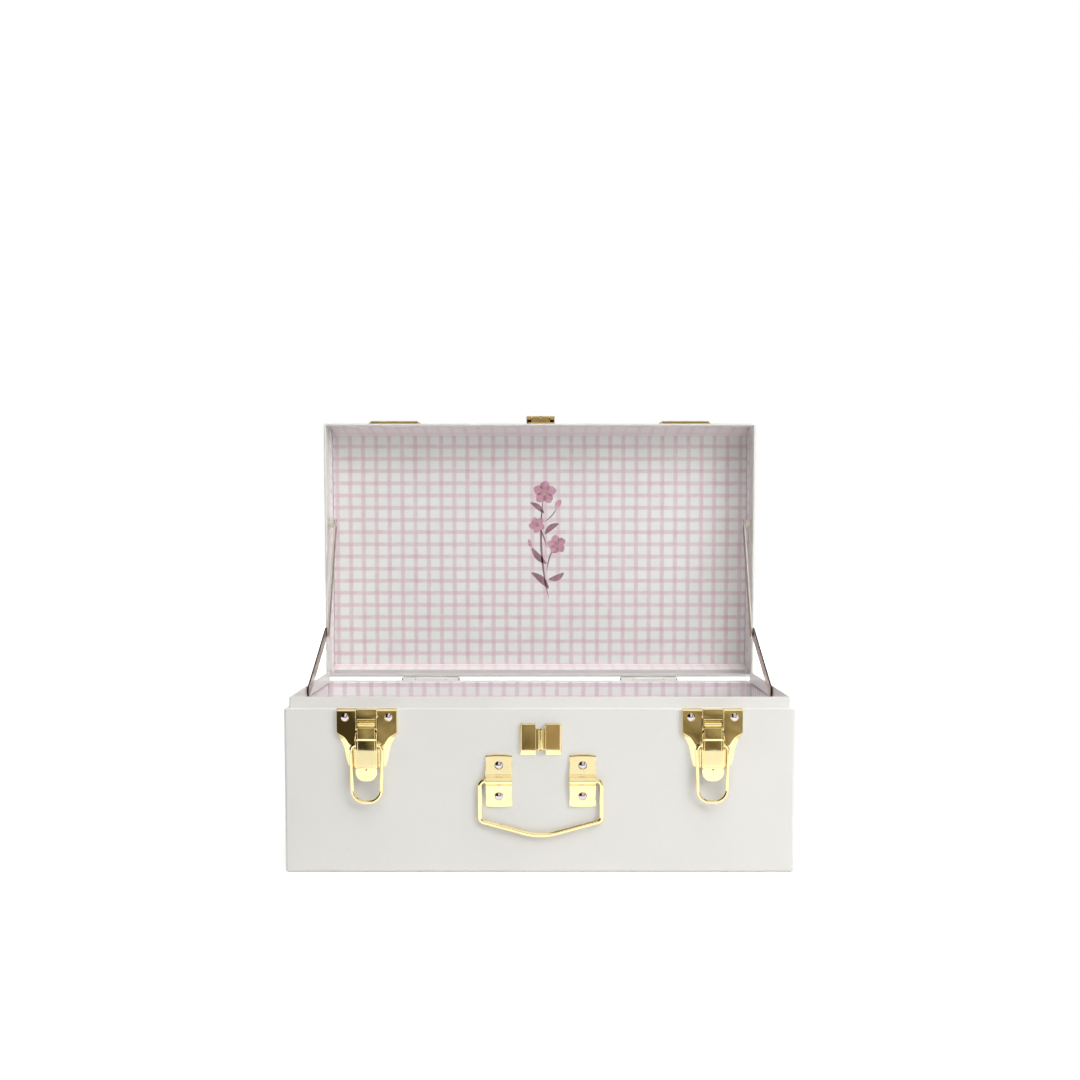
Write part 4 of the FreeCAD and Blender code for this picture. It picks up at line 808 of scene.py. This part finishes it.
def latch_plate():
    """Rings at each level, left to right over the front and closed along the back: foot, flank, face,
    channel wall, channel floor, and the same again on the other side. Widths are interpolated between
    the (height above the toe, half width) pairs, and the plate rounds off at its toe and top."""
    lines = (FOOT_LINE, FACE_LINE, GROOVE_LINE)
    foot, face, groove = (np.interp(levels, *np.transpose(line)) for line in lines)
    height = TOE + levels
    ends = np.clip(np.minimum(height - TOE, LATCH_TOP - height) / 0.6, 0, 1)
    rise = PROUD * np.sqrt(1 - (1 - ends) ** 2 * 0.9)
    channel = np.clip((LATCH_TOP - 5.2 - height) / 0.5, 0, 1)
    floor = rise - channel * np.maximum(rise - SHEET, 0)
    low = np.full_like(levels, 0.02)
    half = [(foot, low), (foot - 0.02, low + 0.25), (face + (foot - face) * 0.12, rise * 0.9),
            (face, rise * 0.99), (np.maximum(face - 0.5, groove + 0.2), rise), (groove + 0.15, rise),
            (groove, floor)]
    left = [np.stack([-across, -HALF_DEPTH - out, height], 1) for across, out in half]
    right = [np.stack([across, -HALF_DEPTH - out, height], 1) for across, out in half[::-1]]
    return closed_rows(np.stack(left + right, axis=1))


BRIDGE_HALF, EAR_THICK = 6.3, 1.05
BRIDGE = round_corners([(-BRIDGE_HALF, 1.0), (-BRIDGE_HALF, 5.0), (BRIDGE_HALF, 5.0), (BRIDGE_HALF, 1.0)],
                       [0, 0.5, 0.5, 0]) * [1, -1] + [0, -HALF_DEPTH]
EAR = side_view(round_corners([(1.0, -5.2), (5.2, -5.2), (5.2, -11.6), (4.2, -12.5), (1.0, -12.5)],
                              [0, 0, 0.9, 0.5, 0]), LATCH_TOP)
for side, sign in SIDES:
    shells = [latch_plate(), slab(BRIDGE, LATCH_TOP - 6.0, LATCH_TOP + 0.2, 0.35)]
    for near in (-BRIDGE_HALF, BRIDGE_HALF - EAR_THICK):
        shells.append(moved(slab(EAR, near, near + EAR_THICK, 0.25), along_x))
    add_piece(f"latch_plate_{side}_pressing", slid(shells, LATCH_X * sign), GOLD, "base",
              [f"latch_plate_{side}"])

# %% [markdown]
# ### The levers
# The lever is bent from one strip: a barrel rolled round the pin, a swollen front, a step, and a flat
# tongue that ends in a round thumb tab. Its side view is one outline, carried across its width, and
# the tab is an outline seen from the front. Two cheeks behind it carry the wire loop in drilled holes.

# %% Levers
BAIL_Z, BAIL_OUT, PIVOT_Z, PIVOT_OUT = LATCH_TOP - 21.0, 4.1, LATCH_TOP - 9.0, 3.0
LEVER_HALF, CHEEK_THICK, TAB_LOW, TAB_HIGH, PIN_RADIUS = 5.1, 1.15, 5.35, 6.05, 0.79
STRIP_SIDE = side_view(round_corners(
    [(4.5, -9.5), (6.4, -10.6), (6.5, -17.1), (6.4, -17.6), (5.9, -18.2), (5.9, -35.2), (4.9, -35.2),
     (4.9, -10.6), (3.6, -9.5)], [0, 0.35, 0.25, 0.15, 0.15, 0, 0, 0, 0], steps=4), LATCH_TOP)
CHEEK_SIDE = side_view(round_corners(
    [(1.5, -13.5), (6.2, -13.5), (6.2, -17.5), (5.7, -18.2), (5.7, -34.8), (3.9, -34.8), (1.5, -23.9)],
    [0.6, 0.3, 0.2, 0.1, 0.3, 0.8, 1.2], steps=4), LATCH_TOP)
TAB = round_corners([(-6.3, -42.0), (6.3, -42.0), (6.3, -34.4), (0, -33.2), (-6.3, -34.4)],
                    [5.4, 5.4, 0.8, 14.0, 0.8], steps=10) + [0, LATCH_TOP]


def barrel(half, radius, bore, turns=32, rim=0.2):
    """A tube along x: rings of the bore, the rims and the outside, closed round."""
    turn = np.linspace(0, 2 * math.pi, turns, endpoint=False)
    rings = [(-half, bore), (-half, radius - rim), (rim - half, radius),
             (half - rim, radius), (half, radius - rim), (half, bore)]
    circle = np.stack([np.cos(turn), np.sin(turn)], 1)
    points = np.stack([np.column_stack([r * circle, np.full(turns, x)]) for x, r in rings])
    return points.reshape(-1, 3), grid_faces(len(rings), turns, wrap_rows=True), []


def lever():
    """Strip and barrel along x, thumb tab on the front, cheeks with a hole for the wire."""
    pivot = stood(along_x, -HALF_DEPTH - PIVOT_OUT, PIVOT_Z, 0)
    shells = [moved(slab(STRIP_SIDE, -LEVER_HALF, LEVER_HALF, 0.3), along_x),
              moved(barrel(LEVER_HALF, 1.6, 0.85), pivot),
              moved(slab(TAB, TAB_LOW, TAB_HIGH, 0.12), on_front)]
    hole = np.array([-HALF_DEPTH - BAIL_OUT, BAIL_Z])
    for low in (-6.2, 5.05):
        shells.append(moved(slab_with_hole(CHEEK_SIDE, low, low + CHEEK_THICK, hole, 1.16), along_x))
    return shells


print("a lever is put together from", len(lever()), "shells")

# %% Levers on their pins
for side, sign in SIDES:
    body, x = f"lever_{side}", LATCH_X * sign
    add_piece(f"latch_lever_{side}_strip", slid(lever(), x), GOLD, body,
              [f"latch_lever_{side}"])
    # Painted shade: a thin dark film on the thumb tab where its dimple falls in shade.
    pit = turned([(0.5, 0.0), (0.5, 0.03), (0.3, 0.04)], 16)
    pit = moved(pit, stood(on_front, x, LATCH_TOP - 35.2, TAB_HIGH - 0.01))
    add_piece(f"latch_dimple_{side}", [pit], DIMPLE_SHADE, body)
    rod = turned([(PIN_RADIUS, -6.25), (PIN_RADIUS, 6.25)], 20)
    rod = moved(rod, stood(along_x, -HALF_DEPTH - PIVOT_OUT, PIVOT_Z, x))
    add_piece(f"latch_rod_{side}", [rod], PIN, "base", [f"latch_pin_{side}"])

# %% [markdown]
# ### The wire loops
# A loop of round wire hangs in each lever's cheeks. A bevelled curve would do, but the same wire
# function serves the loops and the handle: a line with rounded corners, and a circle carried along it.

# %% Wire loops
def front_wire(line, x, up, out, radius):
    """A wire bent in a plane in front of the case, at the given distance out."""
    path = np.stack([line[:, 0] + x, np.full(len(line), -HALF_DEPTH - out), line[:, 1] + up], 1)
    return wire(path, -Y, radius)


LOOP_LOW, LOOP_WIRE = LATCH_TOP - 54.6, 1.1
LOOP = round_corners([(-5.4, BAIL_Z), (-9.2, BAIL_Z), (-8.3, LOOP_LOW), (8.3, LOOP_LOW), (9.2, BAIL_Z),
                      (5.4, BAIL_Z)], [0, 2.9, 7.6, 7.6, 2.9, 0], closed=False, steps=16)
for side, sign in SIDES:
    shape = front_wire(LOOP, LATCH_X * sign, 0, BAIL_OUT, LOOP_WIRE)
    add_piece(f"latch_loop_{side}", [shape], GOLD, f"bail_{side}", [f"latch_bail_{side}"])

# %% [markdown]
# ## Rivets
# Every fitting is held by small domed rivets, bright as nickel. A half ball would stand too high, so
# a head is a shallow spherical cap, turned about its axis. The rivets of one kind are one piece.

# %% Rivet heads
MID_X = round(np.mean([corner[0] for corner in cad("hasp_staple")]), 2)
HANDLE_Z = round(np.mean([corner[2] for corner in cad("handle_plate_left")]), 2)
STRAP_X, PLATE_RIVET_X, STRAP_RIVET_Z, SKIN = 24.6, 12.65, 9.1, 0.9
PAIRS = [(a, b) for a in (-1, 1) for b in (-1, 1)]


def add_rivets(fitting, spots, radius, height, out, place, body):
    """One dome at each (across, up) spot, standing on a face at the given distance out."""
    shells = [moved(dome(radius, height), stood(place, *spot, out)) for spot in spots]
    add_piece(f"{fitting}_rivet_heads", shells, NICKEL, body, [f"{fitting}_rivets"])


spots = [(LATCH_X * a + PLATE_RIVET_X * b, LATCH_TOP - 4.8) for a, b in PAIRS]
add_rivets("latch", spots, 2.4, 1.2, PROUD, on_front, "base")
spots = [(LATCH_X * a + PLATE_RIVET_X * b, RIM + 9.4) for a, b in PAIRS]
add_rivets("keeper", spots, 2.1, 0.9, SKIN, open_lid(on_front), "lid")
spots = [(MID_X + STRAP_X * a, HANDLE_Z + STRAP_RIVET_Z * b) for a, b in PAIRS]
add_rivets("handle", spots, 2.5, 1.2, SKIN, on_front, "base")

# %% [markdown]
# ## The handle
# A wire handle hangs in two straps. A strap is one profile across its width: flat, up over the wire
# in a half circle, and flat again. Its ends are bowed, and its corners are rounded, by pushing the
# points of the slab about, which is easier than trimming its outline.

# %% Handle straps and wire
HANDLE_OUT, WIRE, STRAP_HALF, STRAP_TALL = 1.75, 1.45, 7.8, 15.2


def strap():
    """Outer line and inner line of the sheet, closed into one section and carried across the strap."""
    over = arc((HANDLE_OUT, 0), WIRE + 0.95, 75, -75, 14)
    under = arc((HANDLE_OUT, 0), WIRE + 0.06, 82, -82, 14)
    down = np.array([0.0, 0.03, 0.1, 0.4, 0.8, 1.0, 1.4, 2.4])
    top, rise = STRAP_TALL - down, np.array([0.64, 0.74, 0.79, 0.84, 0.895, SKIN, SKIN, SKIN])
    back = np.full(len(top), 0.02)
    bend = np.array([(SKIN, 3.6), (1.05, 2.95), (1.5, 2.55)])
    outer = np.concatenate([
        np.stack([rise, top], 1), bend, over, bend[::-1] * [1, -1], np.stack([rise[::-1], -top[::-1]], 1)])
    inner = np.concatenate([
        np.stack([back, -top], 1), [[0.02, -1.62], [HANDLE_OUT - 0.1, -1.56]], under[::-1],
        [[HANDLE_OUT - 0.1, 1.56], [0.02, 1.62]], np.stack([back, top[::-1]], 1)])
    section = np.concatenate([outer, inner]) * [-1, 1]
    points, quads, caps = slab(section, -STRAP_HALF, STRAP_HALF, 0.12, between=11)
    tall = np.abs(points[:, 1])
    near = np.clip((tall - 14.6) / 0.6, 0, 1)
    squeeze = (7.2 + 0.6 * np.sqrt(1 - near ** 2)) / STRAP_HALF
    bow = 0.5 * (1 - (points[:, 2] / STRAP_HALF) ** 2) * np.sign(points[:, 1])
    bow *= np.clip((tall - 10) / 5.2, 0, 1)
    return np.stack([points[:, 0], points[:, 1] + bow, points[:, 2] * squeeze], 1), quads, caps


for side, sign in SIDES:
    shape = moved(strap(), stood(along_x, -HALF_DEPTH, HANDLE_Z, MID_X + STRAP_X * sign))
    add_piece(f"handle_strap_{side}", [shape], GOLD, "base", [f"handle_plate_{side}"])

line = round_corners(
    [(-17.6, 0), (-35.7, 0), (-35.7, -23.6), (0, -33.3), (35.7, -23.6), (35.7, 0), (17.6, 0)],
    [0, 2.9, 2.9, 35.7, 2.9, 2.9, 0], closed=False, steps=14)
shape = front_wire(line, MID_X, HANDLE_Z, HANDLE_OUT, WIRE)
add_piece("handle_wire", [shape], DRAWN, "handle", ["handle_bail"])

# %% [markdown]
# ## The hasp
# On the case a staple stands under the seam: two pressed wings and a folded ridge between them. Each
# wing is a pressing from a foot outline to a smaller face, so its bevels come from two rectangles.

# %% Staple
STAPLE_LOW, STAPLE_TOP = (corner[2] for corner in cad("hasp_staple"))
NOTCH = 3.1


def wing(sign):
    """A wing: its foot is a rectangle, its face a smaller one, higher at the bottom, for the bevels."""
    near, far = 2.75 * sign, 12.2 * sign
    inner, outer = near + 0.1 * sign, far - 0.8 * sign
    foot = round_corners(rectangle(near, STAPLE_LOW, far, STAPLE_TOP), 0.4, steps=3)
    face = round_corners(rectangle(inner, STAPLE_LOW + 2.8, outer, STAPLE_TOP - 0.4), 0.4, steps=3)
    return pressed(foot, face, 2.3, edge=0.35)


RIDGE = round_corners(
    [(-1.45, 0.5), (-1.45, 4.2), (-0.75, 4.2), (0, 3.1), (0.75, 4.2), (1.45, 4.2), (1.45, 0.5)],
    [0, 0.4, 0.2, 0.2, 0.2, 0.4, 0], steps=4) * [1, -1] + [0, -HALF_DEPTH]
web = rectangle(-3.2, NOTCH, 3.2, 15.6) + [0, STAPLE_LOW]
shells = [moved(wing(sign), on_front) for sign in (-1, 1)]
shells.append(slab(RIDGE, STAPLE_LOW + NOTCH, STAPLE_TOP - NOTCH, 0.35))
shells.append(moved(slab(web, 0.02, 1.0, 0.2), on_front))
add_piece("staple_pressing", slid(shells, MID_X), GOLD, "base", ["hasp_staple"], sharp=6)

# %% [markdown]
# ### Keepers and hasp on the lid
# The lid carries the latches' keepers and the hasp: a plate with two ears, a pin, and a strap that is
# turned back. They are bent from sheet too, so each is a few slabs: plates are outlines seen from the
# front, and beads, ridges and curls are sections carried along the lid's edge.

# %% Keepers
def lid_profile(section, low, high, edge=0.25):
    """A slab along x on the lid's front, drawn as (height above the rim, out)."""
    return moved(slab(side_view(np.asarray(section)[:, ::-1], RIM), low, high, edge), open_lid(along_x))


def lid_plate(left, low, right, high):
    """A flat plate with round corners on the lid's front, drawn as (across, height above the rim)."""
    outline = round_corners(rectangle(left, low, right, high), 1.5) + [0, RIM]
    return moved(slab(outline, 0.02, SKIN, 0.25), open_lid(on_front))


bead = round_corners([(2.0, 0.1), (2.0, 1.9), (3.8, 1.9), (4.7, 0.1)], [0, 0.5, 0.5, 0])
ridge = round_corners([(5.8, 0.1), (8.5, 2.0), (9.4, 2.0), (9.4, 0.1)], [0, 0.4, 0.4, 0])
for side, sign in SIDES:
    shells = [lid_plate(-17.9, 2.0, 17.9, 15.0), lid_profile(bead, -16.4, 16.4),
              lid_profile(ridge, -9.0, 9.0)]
    add_piece(f"keeper_{side}_pressing", slid(shells, LATCH_X * sign), SHADED_BRASS, "lid",
              [f"keeper_{side}"])

# %% Hasp plate, strap and painted shade under the knuckles
HASP_HALF, EAR_WIDE, HASP_HOLE = 9.8, 3.4, 0.85
hole = np.array([-HALF_DEPTH - 3.4, RIM + 4.5])
ear = side_view(round_corners(rectangle(0.3, 2.2, 5.4, 7.0), [0, 1.0, 1.8, 0]), RIM)
shells = [lid_plate(-HASP_HALF, 1.4, HASP_HALF, 21.4)]
for low in (-HASP_HALF, HASP_HALF - EAR_WIDE):
    shells.append(moved(slab_with_hole(ear, low, low + EAR_WIDE, hole, HASP_HOLE), open_lid(along_x)))
add_piece("hasp_plate_pressing", slid(shells, MID_X), SHADED_BRASS, "lid", ["hasp_plate"], sharp=25)

ROLL_HALF, LEAF_HALF, CURL_WIDE, NECK_HALF = 6.2, 6.5, 4.3, 6.15
roll = round_corners(rectangle(-1.9, -2.0, 1.3, 2.0), 0.5) + hole
nub = turned([(1.0, 0.0), (0.05, 0.45)], 4)
leaf = round_corners(rectangle(5.6, 1.0, 29.0, 1.8), [0, 0.3, 0.3, 0])
curl = round_corners(rectangle(28.2, 1.1, 29.0, 3.4), [0, 0.3, 0.2, 0.2])
shells = [moved(slab_with_hole(roll, -ROLL_HALF, ROLL_HALF, hole, HASP_HOLE), open_lid(along_x)),
          moved(nub, open_lid(placed(X, Y, -Z, (0, hole[0] - 0.9, hole[1] - 1.95)))),
          lid_profile(leaf, -LEAF_HALF, LEAF_HALF, 0.2)]
for low in (-LEAF_HALF, LEAF_HALF - CURL_WIDE):
    shells.append(lid_profile(curl, low, low + CURL_WIDE, 0.2))
shells.append(lid_profile(rectangle(3.9, 1.0, 6.4, 2.6), -NECK_HALF, NECK_HALF, 0.1))
add_piece("hasp_strap_pressing", slid(shells, MID_X), SHADED_BRASS, "hasp", ["hasp_strap"], sharp=25)

# Painted shade: dark blocks under the hasp's knuckles, where the gaps beneath them fall in shade.
GAP_SHADE_WIDE = 3.0
shells = [lid_profile(rectangle(2.1, 0.95, 2.5, 2.7), low, low + GAP_SHADE_WIDE, 0.1) for low in (-9.3, 6.3)]
add_piece("hasp_sockets", slid(shells, MID_X), GAP_SHADE, "lid")

# %% [markdown]
# ## The folding stays
# A stay on each side holds the lid up: two flat bars that fold at an elbow. A bar is flat steel with
# rounded edges, and at each end it has an eye with a drilled hole. The eyes are made by the same
# function as the other drilled pieces. The upper bar is bright, with painted shade on its inner side,
# and the lower one has painted shade along its edges.

# %% Stay bars
STAY_BASE, STAY_ELBOW, STAY_LID = np.array([[-19.76, 100.4], [60.16, 132.29], [103.45, 206.65]])
EYE, BAR, EYE_HOLE, LEAN, SHOULDER, BAR_HALF = 3.6, 3.4, 1.53, 0.02, 1.9, 0.6


def stay_bar(start, end, low, high, outward):
    """Two eyes, circles with a hole, and between them a slab; drawn as (y, z) and carried along x.
    The slab's edges lean, as sheared steel's do: its width grows by a fiftieth for each millimetre."""
    along = (end - start) / np.linalg.norm(end - start)
    across = BAR * np.array([-along[1], along[0]])
    turn = np.linspace(0, 2 * math.pi, 48, endpoint=False)
    ring = EYE * np.stack([np.cos(turn), np.sin(turn)], 1)
    first, last = start + SHOULDER * along, end - SHOULDER * along
    shells = [slab_with_hole(pivot + ring, low, high, pivot, EYE_HOLE, 0.35) for pivot in (start, end)]
    outline = np.array([first - across, last - across, last + across, first + across])
    points, quads, caps = slab(outline, low + 0.03, high - 0.03, 0.2)
    aside = (points[:, :2] - start) @ across / BAR ** 2 * LEAN * outward * (points[:, 2] - (low + high) / 2)
    points[:, :2] += aside[:, None] * across
    return [moved(shell, along_x) for shell in shells + [(points, quads, caps)]]


# The lower bars carry painted shade along their edges, the upper bars on their inner side.
for side, sign in SIDES:
    for name, start, out, finish in (("lower", STAY_BASE, 145.5, EDGE_SHADE_STEEL), ("upper", STAY_LID, 144.0, SIDE_SHADE_STEEL)):
        shells = stay_bar(start, STAY_ELBOW, out * sign - BAR_HALF, out * sign + BAR_HALF, sign)
        add_piece(f"stay_{name}_bar_{side}", shells, finish, f"stay_{name}_{side}",
                  [f"stay_{name}_arm_{side}"], sharp=50)

# %% [markdown]
# ## What stays as it is
# Hinges, their pins, the hasp's pin and the stays' rivets and brackets are right as solids. Nothing is
# gained by drawing them again, so their CAD nodes stay and get a finish.

# %% Finishes on the CAD nodes
def finish_nodes(words, material):
    """Give every CAD node whose name starts with one of the words a material."""
    done = []
    for thing in bpy.data.objects:
        if thing.type == "MESH" and thing.name.startswith(words) and not thing.hide_render:
            thing.data.materials.clear()
            thing.data.materials.append(material)
            done.append(thing.name)
    print(material.name, "on", done)


finish_nodes(("hinge_base", "hinge_lid"), CREAM)
finish_nodes(("hinge_pin", "hasp_pin"), PIN)
finish_nodes(("stay_elbow", "stay_base"), STEEL)
finish_nodes(("stay_lid_bracket",), BRIGHT)
finish_nodes(("hasp_rivets",), GOLD)

# %% [markdown]
# ## Table and room
# The case stands on a white table. Polished brass shows what stands around it, and on a bare white
# stage it would look like paint. So the brass mirrors the table and, beyond its edge, a dim room with
# a pale ceiling: cards that only reflections can see stand for that.

# %% Table
def stage_plane(name, corners, material):
    """A flat four-sided sheet that isn't part of the object."""
    mesh = bpy.data.meshes.new(name)
    mesh.from_pydata(corners, [], [(0, 1, 2, 3)])
    mesh.materials.append(material)
    sheet = bpy.data.objects.new(name, mesh)
    bpy.context.scene.collection.objects.link(sheet)
    return sheet


FAR = 6.0
tree, shader, TABLE = new_finish(
    "table", Base_Color=(0.86, 0.86, 0.86, 1.0), Roughness=0.9, Emission_Color=(1, 1, 1, 1))
ray = add(tree, "ShaderNodeLightPath").outputs
seen = sums(tree, "MAXIMUM", ray["Is Camera Ray"], ray["Is Glossy Ray"])
spot, place = where(tree)
apart = add(tree, "ShaderNodeVectorMath", {0: spot}, operation="LENGTH").outputs["Value"]
glow = sums(tree, "MULTIPLY", seen, spread(tree, apart, 0.7, 1.6, 0.5, 1.0))
# Painted shade seen only in reflections: about half a metre in front of the case the table's glow is dimmed
# for glossy rays, so the brass mirrors a darker band.
dusk = spread(tree, place["Y"], -0.485, -0.53, 0.0, 0.75)
shaded = sums(tree, "SUBTRACT", 1.0, sums(tree, "MULTIPLY", dusk, ray["Is Glossy Ray"]))
tree.links.new(sums(tree, "MULTIPLY", glow, shaded), shader.inputs["Emission Strength"])
stage_plane("table", [(-FAR, -FAR, 0), (FAR, -FAR, 0), (FAR, FAR, 0), (-FAR, FAR, 0)], TABLE)
print("table of", 2 * FAR, "m")

# %% Room
EDGE, WALL, HIGH, ASIDE, CARD_Z, LEFT_END, CEILING_END = -0.583, -2.6, 2.3, 2.6, 0.004, 0.6, 1.0
tree, shader, ROOM = new_finish(
    "room_card", Base_Color=(0, 0, 0, 1), Roughness=1.0, Specular_IOR_Level=0.0, Emission_Strength=1.0)
spot, place = where(tree)
stretch = {0: spot, 1: (26.0, 4.0, 1.5)}
streak = add(tree, "ShaderNodeVectorMath", stretch, operation="MULTIPLY").outputs["Vector"]
streaks = spread(tree, noise(tree, streak, 1.0, 3.0), 0.35, 0.65)
dim = mixed(tree, streaks, linear(112, 99, 74), linear(168, 155, 127))
slant = sums(tree, "ADD", place["X"], sums(tree, "MULTIPLY", place["Y"], -0.19))
dim = mixed(tree, spread(tree, slant, -0.045, -0.022), linear(66, 57, 40), dim)
window = spread(tree, off_middle(tree, place["X"], 0.0145), 0.0135, 0.0115, 0.0, 0.6)
dim = mixed(tree, window, dim, linear(182, 160, 128))
ahead = spread(tree, place["Y"], -1.9, -2.2)
wide = sums(tree, "ADD", sums(tree, "MULTIPLY", ahead, 0.33), 0.86)
aside = sums(tree, "SUBTRACT", off_middle(tree, place["X"], 0.45), wide)
pale = mixed(tree, spread(tree, aside, -0.03, 0.03), linear(250, 248, 244), linear(46, 40, 34))
tree.links.new(mixed(tree, spread(tree, place["Z"], 0.5, 0.56), dim, pale), shader.inputs["Emission Color"])
for name, corners in (
        ("room_floor", [(-ASIDE, WALL, CARD_Z), (ASIDE, WALL, CARD_Z), (ASIDE, EDGE, CARD_Z),
                        (-ASIDE, EDGE, CARD_Z)]),
        ("room_wall", [(-ASIDE, WALL, 0), (-ASIDE, WALL, HIGH), (ASIDE, WALL, HIGH), (ASIDE, WALL, 0)]),
        ("room_ceiling", [(-ASIDE, WALL, HIGH), (-ASIDE, CEILING_END, HIGH), (ASIDE, CEILING_END, HIGH),
                          (ASIDE, WALL, HIGH)]),
        ("room_left", [(-ASIDE, WALL, 0), (-ASIDE, LEFT_END, 0), (-ASIDE, LEFT_END, HIGH),
                       (-ASIDE, WALL, HIGH)])):
    card = stage_plane(name, corners, ROOM)
    card.visible_camera = False
    card.visible_diffuse = False
    card.visible_shadow = False
    card.visible_transmission = False
    print(name, "is seen in reflections only")

# %% [markdown]
# ## Light
# A soft key light comes from the front right, a large one from above, and two weak ones fill the left
# and the back. Lamps that brass mirrors would show as hard squares, so they are hidden from glossy
# rays. The world is white to the camera and dim as a light, so that white walls don't flatten the case.

# %% Lights
world = bpy.data.worlds.new("studio")
bpy.context.scene.world = world
world.use_nodes = True
tree = world.node_tree
ray = add(tree, "ShaderNodeLightPath").outputs
mirrored = sums(tree, "MAXIMUM", ray["Is Glossy Ray"], ray["Is Transmission Ray"])
seen = sums(tree, "MAXIMUM", ray["Is Camera Ray"], mirrored)
tree.links.new(spread(tree, seen, 0.0, 1.0, 0.16, 1.0), tree.nodes["Background"].inputs["Strength"])
tree.nodes["Background"].inputs["Color"].default_value = (1, 1, 1, 1)


def area_light(name, place, aim, size, power):
    """A square lamp that looks from its place to a point."""
    lamp = bpy.data.lights.new(name, "AREA")
    lamp.size, lamp.energy = size, power
    made = bpy.data.objects.new(name, lamp)
    made.location = place
    way = np.array(aim) - np.array(place)
    flat = math.hypot(way[0], way[1])
    made.rotation_euler = (math.atan2(flat, -way[2]), 0, math.atan2(way[1], way[0]) - math.pi / 2)
    made.visible_glossy = False
    bpy.context.scene.collection.objects.link(made)
    print(f"{name} lamp of {power} W")


CASE_MIDDLE, LID_MIDDLE = (0, 0, 0.12), (0, 0.05, 0.15)
area_light("key", (1.15, -1.0, 0.8), CASE_MIDDLE, 0.9, 11.9)
area_light("top", (0.1, -0.9, 1.7), LID_MIDDLE, 1.3, 17.2)
area_light("left", (-1.7, 0.7, 0.9), CASE_MIDDLE, 1.0, 9)
area_light("back", (0.7, 1.7, 1.0), CASE_MIDDLE, 1.0, 10)

# %% [markdown]
# ## Camera
# The camera stands almost straight in front and a little above, as for a catalogue picture. Its place
# and lens were fitted to the picture's edges, and a small shift frames the case below the middle.

# %% Camera
EYE_PLACE, LOOK_DOWN, LENS, SENSOR, SHIFT_UP = (0.00017, -0.9735, 0.1976), 4.265, 50.7, 36.0, 0.1019
lens = bpy.data.cameras.new("camera")
lens.lens, lens.sensor_width, lens.shift_y = LENS, SENSOR, SHIFT_UP
camera = bpy.data.objects.new("camera", lens)
camera.location = EYE_PLACE
camera.rotation_euler = (math.radians(90 - LOOK_DOWN), 0, 0)
bpy.context.scene.collection.objects.link(camera)
bpy.context.scene.camera = camera
bpy.context.scene.view_settings.view_transform = "Standard"
print("camera at", EYE_PLACE, "looking", LOOK_DOWN, "degrees down")
